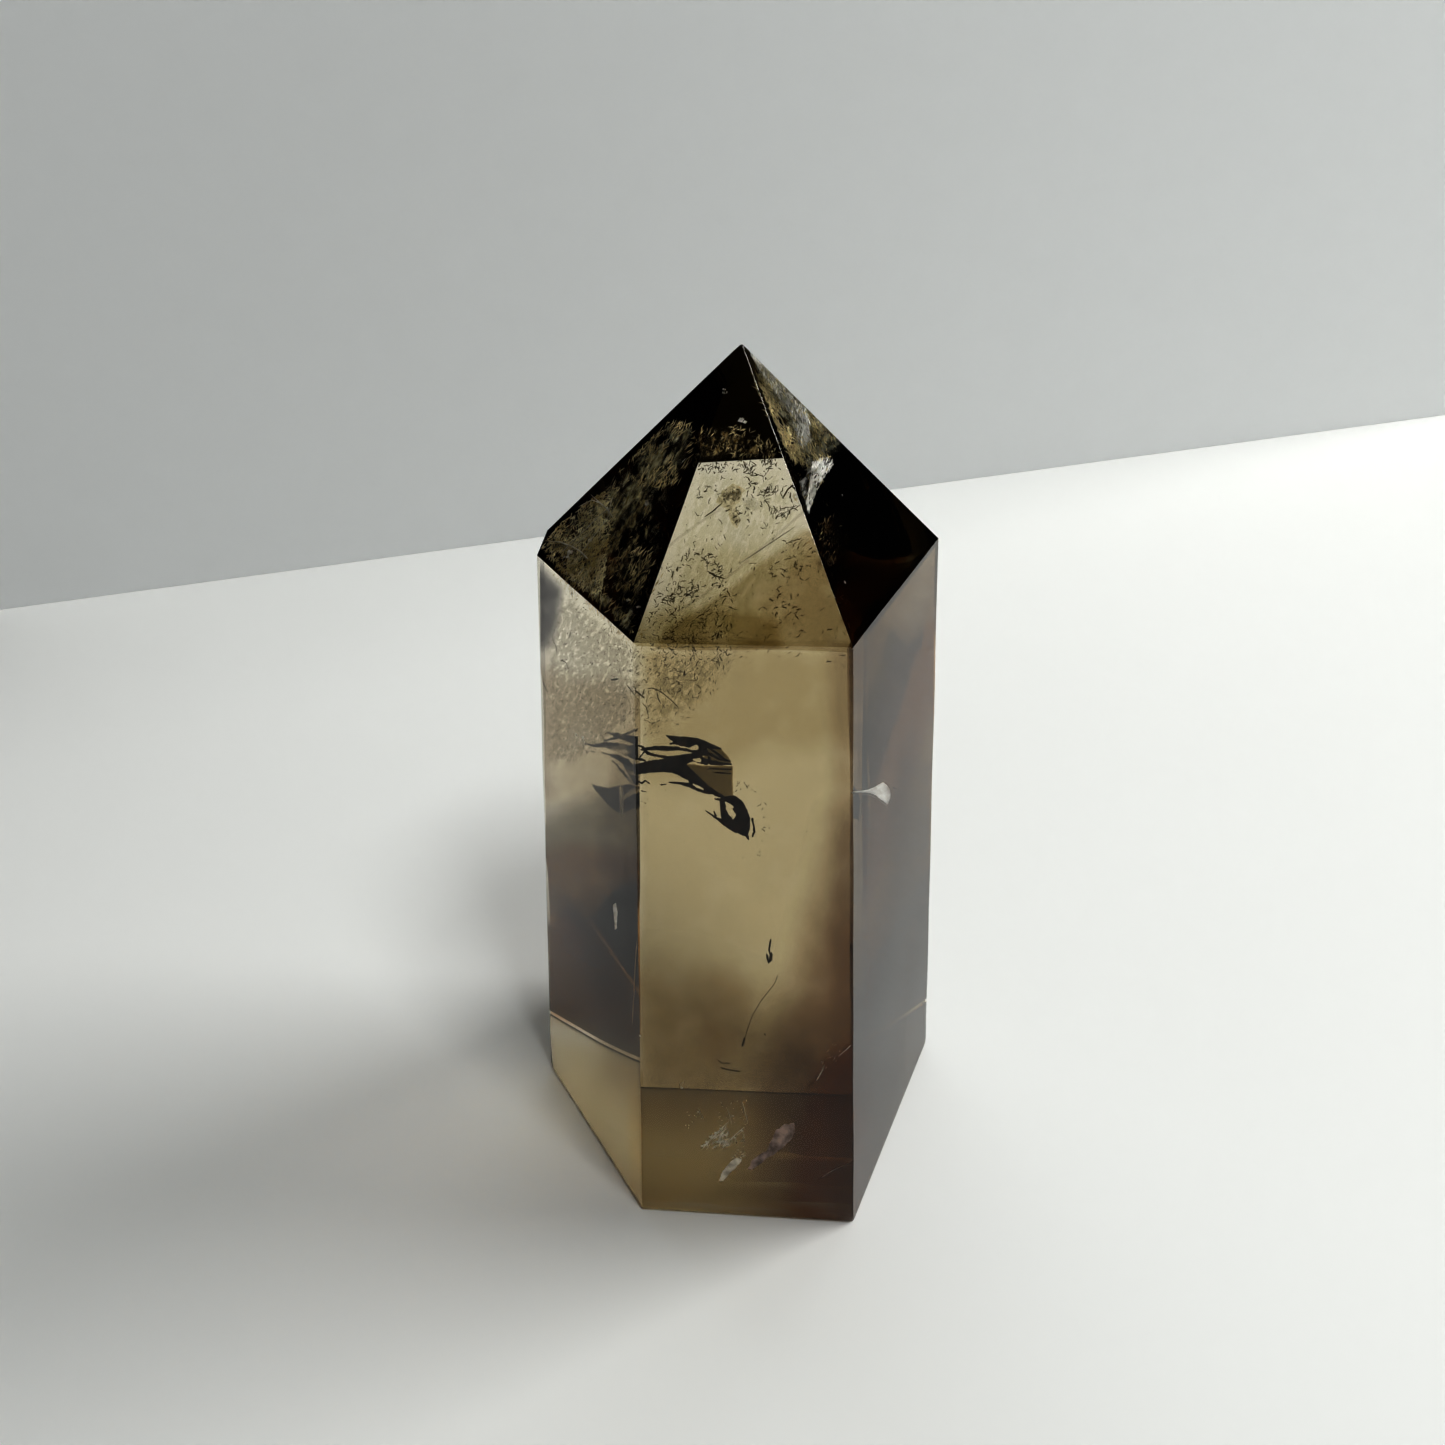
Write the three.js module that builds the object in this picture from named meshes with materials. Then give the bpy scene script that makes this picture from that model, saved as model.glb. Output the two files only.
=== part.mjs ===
import * as THREE from 'three';
import { ConvexGeometry } from 'three/addons/geometries/ConvexGeometry.js';

// Smoky quartz tower: one cut and polished quartz crystal that stands on its sawn base.
// Millimetres, +Z up, origin on the base plane under the middle of the outline.
// The front prism face looks along -Y.

// ---- driving dimensions -------------------------------------------------------
const BASE_Z = 0;                       // plane of the sawn, polished foot
const APEX = [-0.237, -0.561, 100.4];   // where the six tip facets would meet if they were not blunted
const ARRIS = 0.16;                     // how far each facet stops short of its edges: the fine polished arris

// Six prism faces. azimuth: compass of the outward normal in degrees, 0 = +X, 90 = +Y.
// lean: how far the face leans in towards the tip. foot: distance from the axis to the face at the base.
const PRISM_FACES = {
  front:       { azimuth:  -90.000, lean: 1.428, foot: 19.321 },
  front_right: { azimuth:  -18.999, lean: 3.423, foot: 20.375 },
  back_right:  { azimuth:   40.329, lean: 3.634, foot: 24.169 },
  back:        { azimuth:   93.020, lean: 1.258, foot: 18.488 },
  back_left:   { azimuth:  152.984, lean: 3.900, foot: 22.264 },
  front_left:  { azimuth: -144.688, lean: 1.867, foot: 19.394 },
};

// Six tip facets, all through APEX. slope: angle between the facet and the horizontal.
const TIP_FACETS = {
  front:       { azimuth:  -91.056, slope: 50.30 },
  front_right: { azimuth:  -14.683, slope: 53.71 },
  back_right:  { azimuth:   35.305, slope: 48.37 },
  back:        { azimuth:   96.531, slope: 52.30 },
  back_left:   { azimuth:  144.496, slope: 51.58 },
  front_left:  { azimuth: -147.055, slope: 52.05 },
};

// ---- the bounding planes, each as an outward normal and its distance from the origin --------
const rad = THREE.MathUtils.degToRad;
const planes = [];

for (const face of Object.values(PRISM_FACES)) {
  const n = new THREE.Vector3(
    Math.cos(rad(face.azimuth)) * Math.cos(rad(face.lean)),
    Math.sin(rad(face.azimuth)) * Math.cos(rad(face.lean)),
    Math.sin(rad(face.lean)));
  planes.push({ n, d: face.foot * Math.cos(rad(face.lean)) + BASE_Z * n.z });
}

const apex = new THREE.Vector3(...APEX);
for (const facet of Object.values(TIP_FACETS)) {
  const n = new THREE.Vector3(
    Math.cos(rad(facet.azimuth)) * Math.sin(rad(facet.slope)),
    Math.sin(rad(facet.azimuth)) * Math.sin(rad(facet.slope)),
    Math.cos(rad(facet.slope)));
  planes.push({ n, d: n.dot(apex) });
}

planes.push({ n: new THREE.Vector3(0, 0, -1), d: -BASE_Z });

// ---- one flat polygon per plane, stopped short of every neighbour by the arris --------------
function facetOutline(index) {
  const { n, d } = planes[index];
  const side = Math.abs(n.z) > 0.9 ? new THREE.Vector3(1, 0, 0) : new THREE.Vector3(0, 0, 1);
  const u = new THREE.Vector3().crossVectors(n, side).normalize();
  const v = new THREE.Vector3().crossVectors(n, u);
  const centre = n.clone().multiplyScalar(d);
  let outline = [[-1, -1], [1, -1], [1, 1], [-1, 1]].map(([a, b]) =>
    centre.clone().addScaledVector(u, a * 400).addScaledVector(v, b * 400));

  planes.forEach((other, j) => {
    if (j === index || outline.length === 0) return;
    const across = Math.sqrt(Math.max(0, 1 - n.dot(other.n) ** 2));
    const limit = other.d - ARRIS * across;
    const kept = [];
    outline.forEach((p, k) => {
      const q = outline[(k + 1) % outline.length];
      const a = other.n.dot(p) - limit;
      const b = other.n.dot(q) - limit;
      if (a <= 0) kept.push(p);
      if ((a < 0 && b > 0) || (a > 0 && b < 0)) kept.push(p.clone().lerp(q, a / (a - b)));
    });
    outline = kept;
  });
  return outline;
}

const corners = planes.flatMap((_, i) => facetOutline(i));

// ---- the crystal -----------------------------------------------------------------------------
const tower = new THREE.Mesh(
  new ConvexGeometry(corners),
  new THREE.MeshStandardMaterial({
    color: 0x6f6544, roughness: 0.05, metalness: 0, transparent: true, opacity: 0.6,
  }));
tower.name = 'quartz_tower';

const group = new THREE.Group();
group.add(tower);

export default group;
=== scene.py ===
import math
import random

import bmesh
import bpy
import numpy as np
from mathutils import Matrix, Vector


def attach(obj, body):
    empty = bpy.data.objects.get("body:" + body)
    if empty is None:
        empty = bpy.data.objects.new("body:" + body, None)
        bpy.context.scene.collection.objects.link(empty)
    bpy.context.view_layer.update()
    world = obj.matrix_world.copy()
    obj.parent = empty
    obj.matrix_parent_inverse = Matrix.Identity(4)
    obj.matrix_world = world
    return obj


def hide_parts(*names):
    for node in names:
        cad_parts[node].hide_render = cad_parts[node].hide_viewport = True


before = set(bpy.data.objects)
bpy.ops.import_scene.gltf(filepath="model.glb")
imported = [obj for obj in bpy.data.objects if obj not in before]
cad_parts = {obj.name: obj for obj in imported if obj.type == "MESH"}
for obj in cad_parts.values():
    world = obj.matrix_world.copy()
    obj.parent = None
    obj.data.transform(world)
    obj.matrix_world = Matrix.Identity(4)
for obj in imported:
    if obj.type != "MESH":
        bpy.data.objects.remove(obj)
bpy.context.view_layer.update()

MM = 0.001
IOR = 1.544

# ------------------------------------------------------------------ crystal planes (mm), as in the CAD solid
PRISM = {
    "front": (-90.000, 1.428, 19.321),
    "front_right": (-18.999, 3.423, 20.375),
    "back_right": (40.329, 3.634, 24.169),
    "back": (93.020, 1.258, 18.488),
    "back_left": (152.984, 3.900, 22.264),
    "front_left": (-144.688, 1.867, 19.394),
}
TIP = {
    "front": (-91.056, 50.30),
    "front_right": (-14.683, 53.71),
    "back_right": (35.305, 48.37),
    "back": (96.531, 52.30),
    "back_left": (144.496, 51.58),
    "front_left": (-147.055, 52.05),
}
APEX = np.array([-0.237, -0.561, 100.0])

NORMALS, DISTS, FACES = [], [], []
for name, (az, lean, foot) in PRISM.items():
    a, l = math.radians(az), math.radians(lean)
    NORMALS.append((math.cos(a) * math.cos(l), math.sin(a) * math.cos(l), math.sin(l)))
    DISTS.append(foot * math.cos(l))
    FACES.append(name)
for name, (az, slope) in TIP.items():
    a, s = math.radians(az), math.radians(slope)
    n = np.array([math.cos(a) * math.sin(s), math.sin(a) * math.sin(s), math.cos(s)])
    NORMALS.append(tuple(n))
    DISTS.append(float(n @ APEX))
    FACES.append("tip_" + name)
NORMALS.append((0.0, 0.0, -1.0))
DISTS.append(0.0)
FACES.append("base")
NORMALS = np.array(NORMALS)
DISTS = np.array(DISTS)

# ------------------------------------------------------------------ camera, at the photograph's viewing angle
CAM = np.array([6.802, -118.386, 147.583])
CAM_FWD = np.array([-0.05878, 0.79736, -0.60064])
CAM_RIGHT = np.array([0.99733, 0.07309, -0.00057])
CAM_UP = np.array([-0.04344, 0.59907, 0.79952])
CAM_F = 1420.0
HALF = 722.5


def add_camera():
    data = bpy.data.cameras.new("camera")
    data.sensor_width = 36.0
    data.lens = 36.0 * CAM_F / (2 * HALF)
    data.clip_start, data.clip_end = 0.005, 20.0
    cam = bpy.data.objects.new("camera", data)
    bpy.context.collection.objects.link(cam)
    fwd = Vector(CAM_FWD).normalized()
    right = fwd.cross(Vector(CAM_UP)).normalized()
    up = right.cross(fwd)
    m = Matrix((right, up, -fwd)).transposed().to_4x4()
    m.translation = Vector(CAM * MM)
    cam.matrix_world = m
    bpy.context.scene.camera = cam


# ------------------------------------------------------------------ node helpers
def material(name):
    m = bpy.data.materials.new(name)
    m.use_nodes = True
    nt = m.node_tree
    nt.nodes.clear()
    return m, nt, nt.nodes.new("ShaderNodeOutputMaterial")


def node(nt, kind, **inputs):
    n = nt.nodes.new(kind)
    for k, v in inputs.items():
        n.inputs[k.replace("_", " ")].default_value = v
    return n


def link(nt, a, b):
    nt.links.new(a, b)


# ------------------------------------------------------------------ materials
def mat_quartz(name="smoky_quartz_glass", rough=0.0, tint=(1.0, 1.0, 1.0), uneven=0.985):
    """See-through quartz, its surface very slightly cloudier in soft patches."""
    m, nt, out = material(name)
    p = nt.nodes.new("ShaderNodeBsdfPrincipled")
    tc = nt.nodes.new("ShaderNodeTexCoord")
    tex = nt.nodes.new("ShaderNodeTexNoise")
    tex.inputs["Scale"].default_value = 130.0
    tex.inputs["Detail"].default_value = 4.0
    link(nt, tc.outputs["Object"], tex.inputs["Vector"])
    ramp = nt.nodes.new("ShaderNodeValToRGB")
    ramp.color_ramp.elements[0].position = 0.40
    ramp.color_ramp.elements[0].color = (*[c * uneven for c in tint], 1)
    ramp.color_ramp.elements[1].position = 0.60
    ramp.color_ramp.elements[1].color = (*tint, 1)
    link(nt, tex.outputs["Fac"], ramp.inputs["Fac"])
    link(nt, ramp.outputs["Color"], p.inputs["Base Color"])
    p.inputs["Roughness"].default_value = rough
    p.inputs["IOR"].default_value = IOR
    p.inputs["Transmission Weight"].default_value = 1.0
    v = nt.nodes.new("ShaderNodeVolumeAbsorption")
    v.inputs["Color"].default_value = (0.5625, 0.4375, 0.075, 1.0)
    v.inputs["Density"].default_value = 19.0
    link(nt, p.outputs["BSDF"], out.inputs["Surface"])
    link(nt, v.outputs["Volume"], out.inputs["Volume"])
    return m


def mat_stage(name, colour, rough=0.6):
    m, nt, out = material(name)
    p = nt.nodes.new("ShaderNodeBsdfPrincipled")
    p.inputs["Roughness"].default_value = rough
    p.inputs["Specular IOR Level"].default_value = 0.3
    noise = nt.nodes.new("ShaderNodeTexNoise")
    noise.inputs["Scale"].default_value = 40.0
    ramp = nt.nodes.new("ShaderNodeMixRGB")
    ramp.inputs[1].default_value = (*[c * 0.985 for c in colour], 1)
    ramp.inputs[2].default_value = (*colour, 1)
    link(nt, noise.outputs["Fac"], ramp.inputs[0])
    link(nt, ramp.outputs[0], p.inputs["Base Color"])
    link(nt, p.outputs["BSDF"], out.inputs["Surface"])
    return m


# ------------------------------------------------------------------ mesh helpers
def mesh_object(name, verts, faces, mat, smooth=False):
    me = bpy.data.meshes.new(name)
    me.from_pydata([tuple(v) for v in verts], [], [tuple(f) for f in faces])
    me.validate()
    me.update()
    ob = bpy.data.objects.new(name, me)
    bpy.context.collection.objects.link(ob)
    if mat:
        me.materials.append(mat)
    for p in me.polygons:
        p.use_smooth = smooth
    return ob


# ------------------------------------------------------------------ the crystal's own surface
EDGE_R = 0.012      # mm, the tiny rounding of the polished arrises
FOOT_R = 0.50       # mm, softer rounding round the foot
APEX_R = 0.25       # mm, blunted point
ARC = 4             # facets across a rounded edge
GRID = 3.0          # mm, cell of the polished faces' slight waviness
WAVE = 0.020        # mm, amplitude of that waviness


def corner_table():
    """Every corner of the plane-bounded solid with the faces that meet there."""
    pts = []
    n = len(DISTS)
    for i in range(n):
        for j in range(i + 1, n):
            for k in range(j + 1, n):
                m = NORMALS[[i, j, k]]
                if abs(np.linalg.det(m)) < 1e-5:
                    continue
                p = np.linalg.solve(m, DISTS[[i, j, k]])
                if np.all(NORMALS @ p <= DISTS + 1e-4):
                    for q in pts:
                        if np.linalg.norm(q[0] - p) < 0.02:
                            q[1].update((i, j, k))
                            break
                    else:
                        pts.append([p, {i, j, k}])
    return pts


def swing(a, b, t):
    w = math.acos(max(-1.0, min(1.0, float(a @ b))))
    return (math.sin((1 - t) * w) * a + math.sin(t * w) * b) / math.sin(w)


def wave(p):
    """A slow, smooth, seeded wander of the polished surface, in mm."""
    x, y, z = p
    f = WAVE * min(1.0, max(0.0, z / 6.0))
    return np.array([
        f * (math.sin(0.31 * z + 0.22 * y + 1.3) + 0.6 * math.sin(0.17 * z - 0.35 * y + 0.12 * x + 4.0)),
        f * (math.sin(0.27 * z + 0.30 * x + 2.1) + 0.6 * math.sin(0.13 * z - 0.41 * x + 0.10 * y + 0.7)),
        0.5 * f * math.sin(0.25 * x + 0.33 * y + 0.9),
    ])


def crystal_mesh(glass, ground):
    bm = bmesh.new()
    corners = corner_table()
    for p, faces in corners:
        faces = sorted(faces)
        r = FOOT_R if p[2] < 1 else (APEX_R if p[2] > 99 else EDGE_R)
        a = NORMALS[faces]
        c = np.linalg.lstsq(a, DISTS[faces] - r, rcond=None)[0]
        dirs = [NORMALS[f] for f in faces]
        for i, fi in enumerate(faces):
            for fj in faces[i + 1:]:
                shared = sum(1 for q in corners if fi in q[1] and fj in q[1])
                if shared >= 2:
                    dirs += [swing(NORMALS[fi], NORMALS[fj], t / ARC) for t in range(1, ARC)]
        mean = np.sum([NORMALS[f] for f in faces], axis=0)
        mean /= np.linalg.norm(mean)
        dirs += [mean]
        dirs += [swing(d, mean, 0.5) for d in list(dirs[:-1])]
        for d in dirs:
            q = c + d / np.linalg.norm(d) * r
            q[2] = max(q[2], 0.0)
            bm.verts.new(q)
    # the blunted point and the softened foot end a short way along each arris
    for p, faces in corners:
        for q, others in corners:
            both = sorted(faces & others)
            if p is q or len(both) < 2 or not (p[2] > 99 or (p[2] < 1 < q[2])):
                continue
            e = (q - p) / np.linalg.norm(q - p)
            m = np.vstack([NORMALS[both[:2]], e])
            c = np.linalg.solve(m, [DISTS[both[0]] - EDGE_R, DISTS[both[1]] - EDGE_R, (p + e * (1.1 if p[2] > 99 else 1.3)) @ e])
            for t in range(ARC + 1):
                bm.verts.new(c + swing(NORMALS[both[0]], NORMALS[both[1]], t / ARC) * EDGE_R)
    bmesh.ops.remove_doubles(bm, verts=bm.verts, dist=1e-4)
    res = bmesh.ops.convex_hull(bm, input=bm.verts)
    junk = {e for e in res["geom_interior"] + res["geom_unused"] if isinstance(e, bmesh.types.BMVert)}
    bmesh.ops.delete(bm, geom=[v for v in bm.verts if v in junk or not v.link_faces], context="VERTS")
    bmesh.ops.dissolve_limit(bm, angle_limit=math.radians(0.9), verts=bm.verts, edges=bm.edges)
    bm.normal_update()
    tag = bm.faces.layers.int.new("side")
    for f in bm.faces:
        dots = NORMALS @ np.array(f.normal)
        k = int(dots.argmax())
        f[tag] = k + 1 if dots[k] > math.cos(math.radians(1.2)) and f.calc_area() > 3.0 else 0
    for axis, lo, hi in ((0, -26, 26), (1, -21, 21), (2, 0, 101)):
        n = Vector((axis == 0, axis == 1, axis == 2))
        s = lo + GRID * 0.5
        while s < hi:
            geom = bm.verts[:] + bm.edges[:] + bm.faces[:]
            bmesh.ops.bisect_plane(bm, geom=geom, dist=1e-5, plane_co=n * s, plane_no=n)
            s += GRID
    bmesh.ops.remove_doubles(bm, verts=bm.verts, dist=1e-3)
    for v in bm.verts:
        p = np.array(v.co)
        v.co = (p + wave(p)) * MM
    bm.normal_update()
    for e in bm.edges:
        if len(e.link_faces) == 2:
            e.smooth = e.link_faces[0][tag] == e.link_faces[1][tag]
    base = FACES.index("base") + 1
    for f in bm.faces:
        f.smooth = True
        f.material_index = 1 if f[tag] == base else 0
    me = bpy.data.meshes.new("crystal_surface")
    bm.to_mesh(me)
    bm.free()
    me.materials.append(glass)
    me.materials.append(ground)
    ob = bpy.data.objects.new("crystal_surface", me)
    bpy.context.collection.objects.link(ob)
    return ob


# ------------------------------------------------------------------ placing things inside the crystal
def enter(face, px, py):
    """Where the line of sight through a picture point meets a face, and its bent direction inside."""
    k = FACES.index(face)
    n, dist = NORMALS[k], DISTS[k]
    px, py = np.broadcast_arrays(np.asarray(px, float), np.asarray(py, float))
    d = CAM_FWD * CAM_F + CAM_RIGHT * (px[..., None] - HALF) - CAM_UP * (py[..., None] - HALF)
    d = d / np.linalg.norm(d, axis=-1, keepdims=True)
    t = (dist - CAM @ n) / (d @ n)
    p = CAM + d * t[..., None]
    ci = -(d @ n)
    ct = np.sqrt(1 - (1 - ci**2) / IOR**2)
    return p, d / IOR + (ci / IOR - ct)[..., None] * n


def at(face, px, py, depth):
    p, d = enter(face, px, py)
    return p + d * np.asarray(depth, float)[..., None]


RNG = np.random.RandomState(20611)
LATTICE = RNG.rand(64, 64, 64)


def noise(p):
    """Smooth lattice noise, 0 to 1."""
    p = np.asarray(p, float)
    i = np.floor(p).astype(int)
    f = p - i
    f = f * f * (3 - 2 * f)
    out = 0
    for dx in (0, 1):
        for dy in (0, 1):
            for dz in (0, 1):
                w = ((f[..., 0] if dx else 1 - f[..., 0]) * (f[..., 1] if dy else 1 - f[..., 1])
                     * (f[..., 2] if dz else 1 - f[..., 2]))
                out = out + w * LATTICE[(i[..., 0] + dx) % 64, (i[..., 1] + dy) % 64, (i[..., 2] + dz) % 64]
    return out


def fbm(p, octaves=4):
    p = np.asarray(p, float)
    return sum(noise(p * 2**k + 7.3 * k) * 0.5**k for k in range(octaves)) / sum(0.5**k for k in range(octaves))


def grid3(u, v, w=0.0):
    return np.stack(np.broadcast_arrays(np.asarray(u, float), np.asarray(v, float), w), -1)


def stroke(u, v, pts):
    """How far a picture point lies inside a line of varying half width."""
    best = np.full(np.shape(u), -1e9)
    for (x0, y0, r0), (x1, y1, r1) in zip(pts[:-1], pts[1:]):
        dx, dy = x1 - x0, y1 - y0
        t = np.clip(((u - x0) * dx + (v - y0) * dy) / (dx * dx + dy * dy + 1e-9), 0, 1)
        d = np.hypot(u - x0 - t * dx, v - y0 - t * dy)
        best = np.maximum(best, r0 + (r1 - r0) * t - d)
    return best


def polygon(u, v, pts):
    """Signed distance to a closed outline, positive inside."""
    d = np.full(np.shape(u), 1e9)
    inside = np.zeros(np.shape(u), bool)
    n = len(pts)
    for i in range(n):
        (x0, y0), (x1, y1) = pts[i], pts[(i + 1) % n]
        dx, dy = x1 - x0, y1 - y0
        t = np.clip(((u - x0) * dx + (v - y0) * dy) / (dx * dx + dy * dy + 1e-9), 0, 1)
        d = np.minimum(d, np.hypot(u - x0 - t * dx, v - y0 - t * dy))
        c = ((y0 <= v) & (y1 > v)) | ((y1 <= v) & (y0 > v))
        inside ^= c & (u < x0 + (v - y0) / (dy if abs(dy) > 1e-9 else 1e-9) * dx)
    return np.where(inside, d, -d)


def leaf(field, box, cell, place, half, taper=2.0, lean=0.0):
    """A thin closed leaf lying on place(u, v) wherever field(u, v) is positive.

    Returns vertices in mm, faces, each vertex's share from rim to middle, and its place along and
    across the grain, which leans by this many degrees from level."""
    us = np.arange(box[0], box[2] + cell, cell)
    vs = np.arange(box[1], box[3] + cell, cell)
    u, v = np.meshgrid(us, vs)
    room = np.min(DISTS - place(u, v) @ NORMALS.T, axis=-1) - half - 0.08
    g = field(u, v)
    f = np.minimum(g, room * 8.0 * max(1.0, taper)) + 1e-7 * np.sin(u * 91.7 + v * 53.1)
    index, pts, faces = {}, [], []

    def corner(i, j):
        key = (0, i, j)
        if key not in index:
            index[key] = len(pts)
            pts.append((us[i], vs[j], g[j, i]))
        return index[key]

    def cut(i0, j0, i1, j1):
        if (i1, j1) < (i0, j0):
            i0, j0, i1, j1 = i1, j1, i0, j0
        key = (1, i0, j0, i1, j1)
        if key not in index:
            a, b = f[j0, i0], f[j1, i1]
            t = min(0.95, max(0.05, a / (a - b)))
            index[key] = len(pts)
            pts.append((us[i0] + t * (us[i1] - us[i0]), vs[j0] + t * (vs[j1] - vs[j0]), g[j0, i0] + t * (g[j1, i1] - g[j0, i0])))
        return index[key]

    pos = f > 0
    live = pos[:-1, :-1] | pos[1:, :-1] | pos[:-1, 1:] | pos[1:, 1:]
    for j, i in zip(*np.nonzero(live)):
        ring = ((i, j), (i + 1, j), (i + 1, j + 1), (i, j + 1))
        poly = []
        for k in range(4):
            a, b = ring[k], ring[(k + 1) % 4]
            if pos[a[1], a[0]]:
                poly.append(corner(*a))
            if pos[a[1], a[0]] != pos[b[1], b[0]]:
                poly.append(cut(*a, *b))
        if len(poly) >= 3:
            faces.append(poly)
    pts = np.array(pts)
    p = place(pts[:, 0], pts[:, 1])
    e = 0.25
    n = np.cross(place(pts[:, 0] + e, pts[:, 1]) - p, place(pts[:, 0], pts[:, 1] + e) - p)
    n /= np.linalg.norm(n, axis=1, keepdims=True) + 1e-12
    share = np.clip(pts[:, 2] / taper, 0, 1)
    h = half * (0.25 + 0.75 * np.sqrt(share))
    top, low = p + n * h[:, None], p - n * h[:, None]
    m = len(pts)
    out = [list(q) for q in faces] + [[i + m for i in reversed(q)] for q in faces]
    edges = {}
    for q in faces:
        for a, b in zip(q, q[1:] + q[:1]):
            edges[(a, b)] = edges.get((a, b), 0) + 1
    for a, b in edges:
        if (b, a) not in edges:
            out.append([b, a, a + m, b + m])
    w = math.radians(lean)
    grain = np.stack([pts[:, 0] * math.cos(w) - pts[:, 1] * math.sin(w), pts[:, 0] * math.sin(w) + pts[:, 1] * math.cos(w),
                      pts[:, 0] * 0], 1) * 0.01
    return np.vstack([top, low]), out, np.concatenate([share, share]), np.vstack([grain, grain])


def shard(p, axis, side, length, width, thick):
    """A stretched eight-sided sliver, shortened where it would reach through a face."""
    axis = axis / np.linalg.norm(axis)
    side = side - axis * (side @ axis)
    side = side / (np.linalg.norm(side) + 1e-9)
    up = np.cross(axis, side)
    for _ in range(7):
        v = np.array([p + axis * length / 2, p + side * width / 2, p + up * thick / 2,
                      p - side * width / 2, p - up * thick / 2, p - axis * length / 2])
        if np.all(v @ NORMALS.T <= DISTS - 0.04):
            break
        length, width = length * 0.7, width * 0.8
    return v, [[0, 1, 2], [0, 2, 3], [0, 3, 4], [0, 4, 1], [5, 2, 1], [5, 3, 2], [5, 4, 3], [5, 1, 4]]


def strand(points, radii, sides=4):
    """A closed thread through points, pointed at both ends."""
    pts = np.asarray(points, float)
    n = len(pts)
    tang = np.gradient(pts, axis=0)
    tang /= np.linalg.norm(tang, axis=1, keepdims=True) + 1e-12
    ref = np.array([0.31, 0.17, 0.93])
    verts, faces = [pts[0]], []
    for k in range(1, n - 1):
        a = np.cross(tang[k], ref)
        a /= np.linalg.norm(a) + 1e-12
        b = np.cross(tang[k], a)
        for s in range(sides):
            w = 2 * math.pi * s / sides
            verts.append(pts[k] + radii[k] * (math.cos(w) * a + math.sin(w) * b))
    verts.append(pts[-1])
    last = len(verts) - 1
    for s in range(sides):
        t = (s + 1) % sides
        faces.append([0, 1 + t, 1 + s])
        for k in range(n - 3):
            a, b = 1 + k * sides, 1 + (k + 1) * sides
            faces.append([a + s, a + t, b + t, b + s])
        a = 1 + (n - 3) * sides
        faces.append([a + s, a + t, last])
    return np.array(verts), faces


class Bundle:
    """Many small closed shapes joined in one mesh."""

    def __init__(self):
        self.v, self.f, self.a, self.g, self.n = [], [], [], [], 0

    def add(self, verts, faces, share=None, grain=None):
        self.v.append(np.asarray(verts, float))
        self.g.append(np.asarray(verts, float) * 0.1 if grain is None else grain)
        self.f += [[i + self.n for i in q] for q in faces]
        self.a.append(np.ones(len(verts)) if share is None else np.asarray(share))
        self.n += len(verts)

    def done(self, name, mat, smooth=False):
        v = np.vstack(self.v) * MM
        me = bpy.data.meshes.new(name)
        me.from_pydata(v.tolist(), [], self.f)
        me.update()
        bm = bmesh.new()
        bm.from_mesh(me)
        bmesh.ops.recalc_face_normals(bm, faces=bm.faces)
        bm.to_mesh(me)
        bm.free()
        at_ = me.attributes.new("fade", "FLOAT", "POINT")
        at_.data.foreach_set("value", np.concatenate(self.a).astype(np.float32))
        gr = me.attributes.new("grain", "FLOAT_VECTOR", "POINT")
        gr.data.foreach_set("vector", np.vstack(self.g).astype(np.float32).ravel())
        me.materials.append(mat)
        for p in me.polygons:
            p.use_smooth = smooth
        ob = bpy.data.objects.new(name, me)
        bpy.context.collection.objects.link(ob)
        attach(ob, "root")
        return ob


def inside_crystal(p, gap=0.25):
    return np.all(NORMALS @ np.asarray(p) <= DISTS - gap)


def ends(p, k, r):
    """A drawn path carried on a little at both ends and kept inside the crystal."""
    q = [p[0] * (1 + k) - p[1] * k] + p + [p[-1] * (1 + k) - p[-2] * k]
    return [v for v in q if inside_crystal(v, r + 0.03)]


def scatter(face, outline, count, near, far, rng, weight=None):
    """Random points behind a picture outline, between two depths, all inside the crystal."""
    xs = [q[0] for q in outline]
    ys = [q[1] for q in outline]
    out = []
    tries = 0
    while len(out) < count and tries < count * 60:
        tries += 1
        u, v = rng.uniform(min(xs), max(xs)), rng.uniform(min(ys), max(ys))
        if polygon(np.array(u), np.array(v), outline) <= 0:
            continue
        if weight is not None and rng.rand() > weight(u, v):
            continue
        p = at(face, u, v, rng.uniform(near, far))
        if inside_crystal(p):
            out.append((u, v, p))
    return out


def toward(face, u, v, sky):
    """The tilt of a small mirror behind this picture point that shows the given part of the room."""
    n = NORMALS[FACES.index(face)]
    p, d = enter(face, u, v)
    sky = np.asarray(sky, float)
    c = sky @ n
    if c < 0.1:
        sky = sky + n * (0.35 - c)
        sky /= np.linalg.norm(sky)
        c = sky @ n
    leave = sky / IOR + (math.sqrt(1 - (1 - c * c) / IOR**2) - c / IOR) * n
    tilt = leave - d
    return p, d, tilt / np.linalg.norm(tilt)


def screen_axis(face, u, v, depth, angle):
    """A direction inside the crystal that reads as this angle in the picture (degrees, 0 right, 90 up)."""
    w = math.radians(angle)
    a = at(face, u, v, depth)
    b = at(face, u + 2 * math.cos(w), v - 2 * math.sin(w), depth)
    return (b - a) / np.linalg.norm(b - a)


# ------------------------------------------------------------------ inclusion materials
def lift(c):
    """Colours are written as they should look; this allows for the steeper tone curve of the view."""
    return (*[v ** 0.8125 for v in c], 1)


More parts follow.
